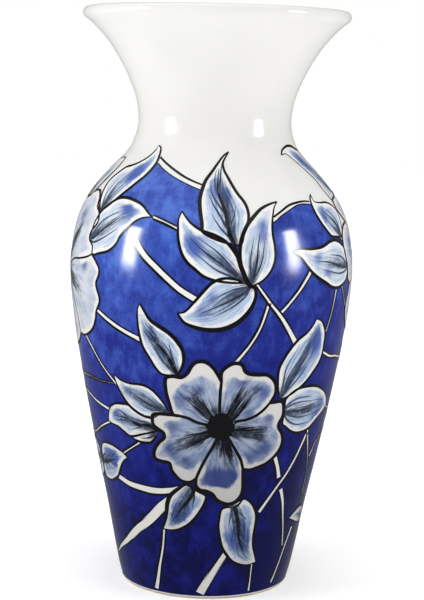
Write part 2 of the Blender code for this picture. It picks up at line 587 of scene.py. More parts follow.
def streak_strength(point, streaks):
    """How dark a dry-brushed streak is at a place. Each streak is (start, end, width)."""
    strength = 0.0
    for start, end, thick in streaks:
        width = degree_width(point[1])
        run = Vector(((end[0] - start[0]) * width, end[1] - start[1]))
        here = Vector(((point[0] - start[0]) * width, point[1] - start[1]))
        along = min(max(here.dot(run) / run.length_squared, 0.0), 1.0)
        away = (here - run * along).length / (thick * (STREAK_START + STREAK_FLARE * along))
        strength = max(strength, math.exp(-(away**2)) * (1 - STREAK_FADE * along**2))
    return strength


def ruled_marks(rows, edge, spots, streaks, pale, tone, bare=()):
    """The marks that the wash reads, for every place of a patch."""
    tall, wide = len(rows), len(rows[0])
    marks = {mark: [] for mark in ("inset", "along", "across", "blue", "shade", "pale", "tone")}
    for r, row in enumerate(rows):
        clear = [BARE_PUSH * spot_strength(point, bare) for point in row]
        marks["inset"].append([nearest(point, edge) - push for point, push in zip(row, clear)])
        marks["along"].append([r / (tall - 1)] * wide)
        marks["across"].append([c / (wide - 1) for c in range(wide)])
        marks["blue"].append([spot_strength(point, spots) for point in row])
        marks["shade"].append([streak_strength(point, streaks) for point in row])
        marks["pale"].append([pale] * wide)
        marks["tone"].append([tone] * wide)
    return marks


def vein_paths(left, right, veins, branches, reach, luck):
    """The middle vein and either long side veins fanned from the root or short branches."""
    last = len(left) - 2

    def spot(along, column):
        """The place a share of the way along the leaf, in a column from 0 to 1 across it."""
        step = min(along, 0.97) * last
        low = int(step)
        side_a = between(left[low], left[low + 1], step - low)
        side_b = between(right[low], right[low + 1], step - low)
        return between(side_a, side_b, column)

    middle = [spot(t * reach, 0.5 + 0.03 * math.sin(5 * t)) for t in (0.02, 0.25, 0.5, 0.75, 1.0)]
    yield middle, 2.0 if branches else 1.35
    for number in range(veins - 1):
        way = 1 if number % 2 else -1
        wide = (0.17 + 0.12 * (number // 2)) * luck.uniform(0.85, 1.15)
        stop = reach * luck.uniform(0.68, 0.95)
        fanned = [(t * stop, way * wide * min(1.0, 0.25 + 1.6 * t)) for t in (0.02, 0.3, 0.6, 1.0)]
        yield [spot(along, 0.5 + aside) for along, aside in fanned], 1.05
    for number in range(branches):
        start = reach * (0.22 + 0.6 * number / max(branches - 1, 1))
        for way in (-1, 1):
            far, run = luck.uniform(0.21, 0.28), luck.uniform(0.24, 0.32)
            ahead = start * 0.8 + (0.05 if way > 0 else 0.0)
            path = [spot(ahead + run * t, 0.5 + way * far * t) for t in (0.0, 0.35, 0.7, 1.0)]
            yield path, luck.uniform(0.9, 1.25)


def leaf(
    name, root, tip, one, other, widths=(1.4, 1.4), blues=(), shade=0.28, pale=0.85, veins=3,
    branches=0, reach=0.7,
):
    """A painted leaf: its wash, with a white border, and the lines of its edges and veins."""
    sides = [brushed([root, *side, tip]) for side in (one, other)]
    tall = max(LEAST_ROWS, round(gap(root, tip) / PATCH_CELL))
    left, right = (spread(side, tall) for side in sides)
    shares = [c / (LEAF_COLUMNS - 1) for c in range(LEAF_COLUMNS)]
    rows = [[between(a, b, share) for share in shares] for a, b in zip(left, right)]
    luck = random.Random(name)
    middle = rows[round(tall * min(reach, 0.9)) - 1][LEAF_COLUMNS // 2]
    streaks = [(root, between(root, middle, min(shade * 2.4, 1.2)), LEAF_STREAK)]
    marks = ruled_marks(rows, sides[0] + sides[1], blues, streaks, pale, luck.random())
    patch(name, rows, LEAF_LIFT, marks, PAINTS["wash"], "white_glaze")
    strokes = [
        stroke(side, width * LINE_WEIGHT, EDGE_TAPER, FULL_INK) for side, width in zip(sides, widths)
    ]
    for path, weight in vein_paths(left, right, veins, branches, reach, luck):
        ink = min(0.2 + 0.28 * weight, 0.75)
        strokes.append(stroke(brushed(path), weight, VEIN_TAPER, ink))
    ink_lines(name + "_lines", strokes, LEAF_LINE_LIFT)


def middle_of(points):
    """The mean of some places."""
    return tuple(sum(axis) / len(points) for axis in zip(*points))


def petal(name, centre, outline, blues, streaks, bare, pale):
    """One petal: a wash that fades to white at its rim, fanned out from the flower's centre."""
    edge = flowing(outline, PETAL_STEP)
    far = max(gap(centre, point) for point in edge)
    rim = [point for point in edge if gap(centre, point) > RIM_START * far]
    tall = max(LEAST_ROWS, round(far / PATCH_CELL))
    rows = []
    for r in range(tall):
        share = PETAL_START + (1 - PETAL_START) * r / (tall - 1)
        rows.append([between(centre, point, share) for point in edge])
    tone = random.Random(name).random()
    marks = ruled_marks(rows, rim, blues, streaks, pale, tone, bare)
    patch(name, rows, PETAL_LIFT, marks, PAINTS["petal"], "white_glaze")


def bristle_strokes(start, end, thick, luck):
    """The fine strokes of a dry-brushed streak, fanned from its start."""
    lean = Vector((end[0] - start[0], end[1] - start[1])).normalized()
    width = degree_width(end[1])
    for bristle in range(STREAK_BRISTLES):
        share = bristle / (STREAK_BRISTLES - 1) - 0.5
        fan = thick * share * 1.15 / width
        tip = between(start, end, luck.uniform(0.62, 1.06) - abs(share) * 0.25)
        tip = (tip[0] - lean.y * fan, tip[1] + lean.x * fan * width)
        side = (start[0] - lean.y * fan * 0.35, start[1] + lean.x * fan * 0.3)
        path = flowing([side, between(side, tip, 0.5), tip], BRISTLE_STEP)
        yield stroke(path, luck.uniform(0.7, 1.3), BRISTLE_TAPER, luck.uniform(0.6, 0.95))


def dark_disc(name, centre, radius):
    """The ragged dark disc in the middle of a flower."""
    luck = random.Random(name)
    width = degree_width(centre[1])
    ring = []
    for number in range(DISC_CORNERS):
        turn = math.tau * number / DISC_CORNERS
        reach = radius * luck.uniform(0.86, 1.12)
        ring.append((centre[0] + reach * math.sin(turn) / width, centre[1] + reach * math.cos(turn)))
    ring.append(ring[0])
    shares = [DISC_START + (1 - DISC_START) * r / DISC_ROWS for r in range(DISC_ROWS + 1)]
    rows = [[between(centre, point, share) for point in ring] for share in shares]
    solid = {"ink": [[1.0] * len(ring) for _ in rows]}
    patch(name + "_disc", rows, DISC_LIFT, solid, PAINTS["ink"], "cobalt_glaze")


def blossom(name, centre, petals, disc, line=1.9, pale=0.95):
    """A flower: its petals, the lines between and round them, their streaks and the disc."""
    strokes = []
    count = len(petals)
    for number, (part, divider, rim, blues, streaks, *bare) in enumerate(petals):
        onward = petals[(number + 1) % count][1]
        outline = [*divider, *rim, *onward[::-1]]
        round_disc = (centre, between(centre, middle_of(outline), 0.55), disc * 0.95)
        petal(f"{name}_petal_{part}", centre, outline, blues, [*streaks, round_disc], bare, pale)
        inner = flowing([between(centre, divider[0], 0.8), *divider], RIM_STEP)
        strokes.append(stroke(inner, line * 0.8 * LINE_WEIGHT, DIVIDER_TAPER, FULL_INK))
        outer = flowing([divider[-1], *rim, onward[-1]], RIM_STEP)
        strokes.append(stroke(outer, line * LINE_WEIGHT, RIM_TAPER, FULL_INK))
        luck = random.Random(name + part)
        for streak in streaks:
            strokes += bristle_strokes(*streak, luck)
    ink_lines(name + "_lines", strokes, PETAL_LINE_LIFT)
    dark_disc(name, centre, disc)


def stems(name, runs):
    """White stems with a dark line along each side. Each run is (points, widths from end to end)."""
    cores, sides = [], []
    for points, widths in runs:
        path = brushed(points)
        halves = []
        for index in range(len(path)):
            t = index / (len(path) - 1) * (len(widths) - 1)
            low = min(int(t), len(widths) - 2)
            halves.append((widths[low] + (widths[low + 1] - widths[low]) * (t - low)) / 2)
        cores.append((path, halves, 0.0))
        for way, thick in STEM_SIDES:
            side = beside(path, [way * (half + STEM_MARGIN) for half in halves])
            sides.append(stroke(side, thick, STEM_TAPER, FULL_INK))
    lines(name, cores, STEM_LIFT, STEM_RELIEF, PAINTS["white"], "white_glaze")
    ink_lines(name + "_lines", sides, STEM_LINE_LIFT)


def grown_leaf(name, root, heading, length, width, bend, **rest):
    """A leaf drawn by rule: heading is degrees from upright, bend is the side sway of its length."""
    turn, luck = math.radians(heading), random.Random(name)
    scale = degree_width(root[1])

    def spot(along, aside):
        """The place a share of the way along the leaf and some millimetres aside."""
        aside += bend * length * math.sin(math.pi * min(along, 1.0)) - bend * length * along**2
        across = along * length * math.sin(turn) + aside * math.cos(turn)
        up = along * length * math.cos(turn) - aside * math.sin(turn)
        return (root[0] + across / scale, root[1] + up)

    sides = []
    for way in (-1, 1):
        full = width / 2 * luck.uniform(0.85, 1.15)
        sides.append([spot(t, way * full * share) for t, share in LEAF_SWELL])
    blue = (*spot(0.68, 0), width * 0.38)
    leaf(name, root, spot(1.0, 0), sides[0], sides[1], blues=[blue], **rest)


def grown_blossom(name, centre, reach, lean):
    """A five-petalled flower drawn by rule, each petal with two or three lobes."""
    luck = random.Random(name)
    width = degree_width(centre[1])

    def spot(turn, share):
        """The place at a turn round the centre, a share of the way out."""
        turn = math.radians(turn)
        away = reach * share
        return (centre[0] + away * math.sin(turn) / width, centre[1] + away * math.cos(turn))

    petals = []
    for number in range(5):
        start = lean + 72 * number + luck.uniform(-5, 5)
        divider = [spot(start, 0.2), spot(start + 2, 0.45), spot(start, 0.72)]
        rim = []
        for turn, dip in zip(LOBE_TURNS, luck.choice(LOBES)):
            rim.append(spot(start + turn, dip * luck.uniform(0.96, 1.04)))
        middle = start + 36 + luck.uniform(-8, 8)
        blues = [(*spot(middle + 10, 0.62), reach * 0.2)]
        streaks = [(spot(middle, 0.15), spot(middle, 0.6), GROWN_STREAK)]
        petals.append((f"{number + 1}", divider, rim, blues, streaks))
    blossom(name, centre, petals, reach * 0.17)


# ---------------------------------------------------------------- finishes
# The clouds' scales are per metre. eased() stretches the middle of their range, and what it
# gives is a share, a roughness or millimetres of border.


def tint(red, green, blue):
    """A paint's colour, from the usual 0 to 255 of a colour chart."""
    chart = (red, green, blue)
    return (*(((c / 255 + 0.055) / 1.055) ** 2.4 if c > 10 else c / 3295 for c in chart), 1.0)


TIN_WHITE = tint(238, 237, 234)
CREAM_WHITE = tint(231, 230, 226)
# Each wash's paints: the white left bare, the pale wash, the next one, its blue and its dark.
LEAF_PAINTS = (
    tint(240, 240, 238), tint(178, 200, 226), tint(132, 164, 211), tint(54, 86, 170), tint(48, 62, 92)
)
PETAL_PAINTS = (
    tint(238, 236, 233), tint(166, 184, 214), tint(126, 150, 197), tint(50, 73, 146), tint(27, 29, 38)
)
# The ground's blues, from dark to light: partly where the cobalt lies thick or was brushed thin, partly
# painted shade low down and painted light on the left.
GROUND_BLUES = (
    (0.0, tint(5, 8, 64)),
    (0.2, tint(14, 21, 104)),
    (0.5, tint(28, 42, 132)),
    (0.78, tint(56, 82, 176)),
    (1.0, tint(82, 120, 212)),
)
THIN_INK = tint(96, 112, 142)
CHARCOAL = tint(16, 15, 18)
BUFF_CLAY = tint(196, 186, 170)
RUST_CLAY = tint(168, 152, 130)
SLIP_CLAY = tint(140, 108, 80)
PLAIN_WHITE = (1, 1, 1, 1)
FLOOR_PALE = (0.96, 0.96, 0.96, 1)
FLOOR_DARK = (0.93, 0.93, 0.93, 1)
GLAZE_BEND = 1.5  # how strongly the glaze bends light
GLAZE_SHINE = 0.2
BUMP_DEPTH = 0.0004
WHITE_SHADE_KEEP = 0.70  # share of its colour the white keeps at the foot, under the painted shade


def start_finish(name):
    """A new finish and its empty tree."""
    finish = bpy.data.materials.new(name)
    finish.use_nodes = True
    finish.node_tree.nodes.clear()
    return finish, finish.node_tree


def noise(tree, vector, scale, detail=3.0, roughness=0.5):
    """Clouds between 0 and 1."""
    inputs = {"Vector": vector, "Scale": scale, "Detail": detail, "Roughness": roughness}
    return put(tree, "ShaderNodeTexNoise", inputs).outputs["Fac"]


def eased(tree, value, low, high, start=0.0, end=1.0):
    """The value, eased from start at low to end at high."""
    inputs = {"Value": value, "From Min": low, "From Max": high, "To Min": start, "To Max": end}
    node = put(tree, "ShaderNodeMapRange", inputs, interpolation_type="SMOOTHSTEP")
    return node.outputs["Result"]


def reckon(tree, operation, first, second):
    """The result of a sum or product of two values."""
    return put(tree, "ShaderNodeMath", {0: first, 1: second}, operation=operation).outputs["Value"]


def mixed(tree, share, first, second):
    """A share of the second colour in the first."""
    node = put(tree, "ShaderNodeMix", {0: share, 6: first, 7: second}, data_type="RGBA")
    return node.outputs[2]


def mark(tree, name):
    """A number that the piece's corners carry."""
    return put(tree, "ShaderNodeAttribute", attribute_name=name).outputs["Fac"]


def on_object(tree):
    """The place on the piece, in its own measures."""
    return put(tree, "ShaderNodeTexCoord").outputs["Object"]


def painted_shade_low(tree, colour, low):
    """The colour, darker towards the foot: painted shade, where the lower body gets less light."""
    rise = put(tree, "ShaderNodeSeparateXYZ", {"Vector": on_object(tree)}).outputs["Z"]
    share = eased(tree, rise, 0.02, 0.20, low, 1.0)
    inputs = {0: 1.0, 6: colour, 7: share}
    return put(tree, "ShaderNodeMix", inputs, data_type="RGBA", blend_type="MULTIPLY").outputs[2]


def end_finish(tree, colour, rough=(0.10, 0.18), bump=0.06, bump_scale=260.0):
    """Closes a finish with a fired glaze: its gloss varies a little, and its face is faintly uneven."""
    place_on = on_object(tree)
    gloss = eased(tree, noise(tree, place_on, 90.0), 0.3, 0.7, *rough)
    height = noise(tree, place_on, bump_scale, 2.0)
    uneven = put(
        tree, "ShaderNodeBump", {"Strength": bump, "Distance": BUMP_DEPTH, "Height": height}
    ).outputs["Normal"]
    shader = put(
        tree,
        "ShaderNodeBsdfPrincipled",
        {
            "Base Color": colour,
            "Roughness": gloss,
            "IOR": GLAZE_BEND,
            "Specular IOR Level": GLAZE_SHINE,
            "Normal": uneven,
        },
    )
    put(tree, "ShaderNodeOutputMaterial", {"Surface": shader.outputs["BSDF"]})


def white_finish():
    """Opaque tin white, a little creamier where it pooled, and darkened towards the foot by painted shade.
    """
    finish, tree = start_finish("tin_white_glaze")
    pooled = eased(tree, noise(tree, on_object(tree), 24.0, 2.0), 0.35, 0.85, 0.0, 0.6)
    # painted shade: the white darkens towards the foot
    white = painted_shade_low(tree, mixed(tree, pooled, TIN_WHITE, CREAM_WHITE), WHITE_SHADE_KEEP)
    end_finish(tree, white, bump=0.04, bump_scale=120.0)
    return finish


def clay_finish(name, pale, dark):
    """Fired bare clay with fine grog in it."""
    finish, tree = start_finish(name)
    place_on = on_object(tree)
    grain = eased(tree, noise(tree, place_on, 900.0, 5.0, 0.7), 0.35, 0.7)
    cloud = eased(tree, noise(tree, place_on, 60.0, 3.0), 0.3, 0.8)
    colour = mixed(tree, reckon(tree, "MULTIPLY", grain, 0.5), mixed(tree, cloud, pale, dark), dark)
    end_finish(tree, colour, (0.75, 0.9), 0.5, 1400.0)
    return finish


def ink_finish():
    """Manganese black for outlines, and a thinner grey-blue for veins. The mark ink says which."""
    finish, tree = start_finish("outline_ink")
    place_on = on_object(tree)
    thin = eased(tree, noise(tree, place_on, 420.0, 4.0, 0.65), 0.45, 0.8, 0.0, 0.35)
    strength = reckon(tree, "SUBTRACT", mark(tree, "ink"), thin)
    colour = mixed(tree, eased(tree, strength, 0.0, 0.8), THIN_INK, CHARCOAL)
    end_finish(tree, colour, (0.14, 0.24))
    return finish


def wash_finish(name, border, paints, wild=0.35, low=0.6):
    """Cobalt washes on the white: a white border, pale wash, brushed blue spots and dark streaks.

    border is the white border's width in millimetres, wild is how much of it the wash's edge
    wanders, and low is the share of their colour that the colours keep at the foot under painted shade.
    """
    white, pale, soft, cobalt, grey = paints
    finish, tree = start_finish(name)
    place_on = on_object(tree)
    brushed_on = put(
        tree,
        "ShaderNodeCombineXYZ",
        {
            "X": reckon(tree, "MULTIPLY", mark(tree, "across"), 9.0),
            "Y": reckon(tree, "MULTIPLY", mark(tree, "along"), 1.6),
            "Z": reckon(tree, "MULTIPLY", mark(tree, "tone"), 40.0),
        },
    ).outputs["Vector"]
    strokes = noise(tree, brushed_on, 2.2, 4.0, 0.6)
    blots = noise(tree, place_on, 170.0, 4.0, 0.6)
    fine = noise(tree, place_on, 520.0, 3.0, 0.6)
    uneven = eased(tree, blots, 0.3, 0.7, -wild * border, wild * border)
    ragged = reckon(tree, "ADD", mark(tree, "inset"), uneven)
    inside = eased(tree, ragged, border * 0.6, border * 1.6)
    wet = eased(tree, reckon(tree, "ADD", blots, strokes), 0.7, 1.3, 0.72, 1.0)
    amount = reckon(tree, "MULTIPLY", inside, reckon(tree, "MULTIPLY", wet, mark(tree, "pale")))
    washed = mixed(tree, amount, white, pale)
    second = reckon(tree, "MULTIPLY", amount, eased(tree, strokes, 0.36, 0.66, 0.0, 0.75))
    washed = mixed(tree, second, washed, soft)
    spot = reckon(tree, "MULTIPLY", mark(tree, "blue"), inside)
    spot = reckon(tree, "MULTIPLY", spot, eased(tree, strokes, 0.2, 0.7, 0.85, 1.1))
    washed = mixed(tree, eased(tree, spot, 0.0, 1.35, 0.0, 0.92), washed, cobalt)
    dry = reckon(tree, "ADD", mark(tree, "shade"), eased(tree, strokes, 0.3, 0.7, -0.28, 0.2))
    dry = reckon(tree, "ADD", dry, eased(tree, fine, 0.3, 0.7, -0.08, 0.08))
    dark = reckon(tree, "MULTIPLY", eased(tree, dry, 0.12, 0.9), 0.94)
    # painted shade: the washes darken towards the foot
    end_finish(tree, painted_shade_low(tree, mixed(tree, dark, washed, grey), low))
    return finish


def ground_finish():
    """Brushed cobalt, uneven, lighter on the shoulder and the left side and nearly navy near the foot:
    partly the cobalt's own thickness, partly painted light and shade.
    """
    finish, tree = start_finish("cobalt_ground")
    place_on = on_object(tree)
    parts = put(tree, "ShaderNodeSeparateXYZ", {"Vector": place_on}).outputs
    dabs = []
    for lean in ((0.0, 0.75, 0.3), (0.5, -0.85, 0.0)):
        stretched = put(
            tree, "ShaderNodeMapping", {"Vector": place_on, "Scale": (1.0, 1.0, 0.6), "Rotation": lean}
        ).outputs["Vector"]
        dabs.append(noise(tree, stretched, 190.0, 4.0, 0.6))
    dabs = reckon(tree, "MULTIPLY", reckon(tree, "ADD", *dabs), 0.5)
    clouds = noise(tree, place_on, 62.0, 3.0, 0.6)
    fine = noise(tree, place_on, 900.0, 2.0, 0.5)
    # darker towards the foot: partly thicker cobalt, partly painted shade on the lower body
    rise = eased(tree, parts["Z"], 0.02, 0.225, 0.02, 0.80)
    # painted light: the blue lighter on the left side (negative x), as if lit from the left
    side = eased(tree, parts["X"], -0.07, 0.06, 0.14, -0.06)
    light = reckon(tree, "ADD", rise, side)
    light = reckon(tree, "ADD", light, eased(tree, dabs, 0.36, 0.64, -0.10, 0.09))
    light = reckon(tree, "ADD", light, eased(tree, fine, 0.3, 0.7, -0.03, 0.03))
    light = reckon(tree, "ADD", light, eased(tree, clouds, 0.33, 0.67, -0.09, 0.09))
    ramp = put(tree, "ShaderNodeValToRGB", {"Fac": light})
    stops = ramp.color_ramp.elements
    stops[0].color = GROUND_BLUES[0][1]
    stops[1].color = GROUND_BLUES[-1][1]
    for spot, colour in GROUND_BLUES[1:-1]:
        stops.new(spot).color = colour
    end_finish(tree, ramp.outputs["Color"], (0.13, 0.20))
    return finish


# ---------------------------------------------------------------- the painting


PATCH_CELL = 1.7  # height of a painted patch's rows
LEAST_ROWS = 10
LEAF_COLUMNS = 11
PETAL_STEP = 1.3
PETAL_START = 0.12  # share of the way out at which a petal's patch begins
RIM_START = 0.58  # and beyond which its edge counts as the rim, where the wash fades
DISC_CORNERS = 40
DISC_ROWS = 5
DISC_START = 0.02
BARE_PUSH = 9.0  # how strongly a bare spot keeps the wash off, as millimetres of border
LINE_WEIGHT = 1.06  # the outlines' weight beside the widths given for them
LINE_RELIEF = 0.10
STEM_RELIEF = 0.05
STEM_MARGIN = 0.15  # from a stem's edge to the middle of its dark line
STEM_SIDES = ((1, 1.0), (-1, 1.35))  # which side, and the width of the dark line there
THINNEST_HALF = 0.05
FINE_HALF = 0.32  # half width of the line along the ground's upper edge
KNOT_WIDTH = 2.4
FULL_INK = 1.0
RIM_STEP = 0.8
BRISTLE_STEP = 0.9

# The shape of each kind of line: its width where it starts and ends, and where it is fullest.
EDGE_TAPER = (0.55, 0.4, 0.55)
VEIN_TAPER = (1.0, 0.08, 0.15)
DIVIDER_TAPER = (0.9, 0.9, 0.5)
RIM_TAPER = (0.8, 0.8, 0.5)
BRISTLE_TAPER = (1.0, 0.05, 0.15)
STEM_TAPER = (0.6, 0.5, 0.5)
GARLAND_TAPER = (0.8, 0.7, 0.5)
KNOT_TAPER = (0.5, 0.9, 0.7)

STREAK_BRISTLES = 6
STREAK_START = 0.62  # a streak's spread at its start, as a share of its width
STREAK_FLARE = 0.5  # and how much wider it is at its end
STREAK_FADE = 0.6
LEAF_STREAK = 4.4  # width of the dark streak at a leaf's root
GROWN_STREAK = 4.5

# A leaf drawn by rule: (share of its length, share of its half width) along each side.
LEAF_SWELL = ((0.08, 0.42), (0.25, 0.88), (0.45, 1.0), (0.65, 0.82), (0.83, 0.42))
# A petal drawn by rule: the degrees of its rim's points, and how far out they lie.
LOBE_TURNS = (9, 23, 36, 49, 62)
LOBES = ((0.9, 1.0, 0.93, 1.02, 0.9), (0.88, 1.04, 0.99, 0.9, 0.84), (0.86, 0.93, 1.0, 1.06, 0.9))

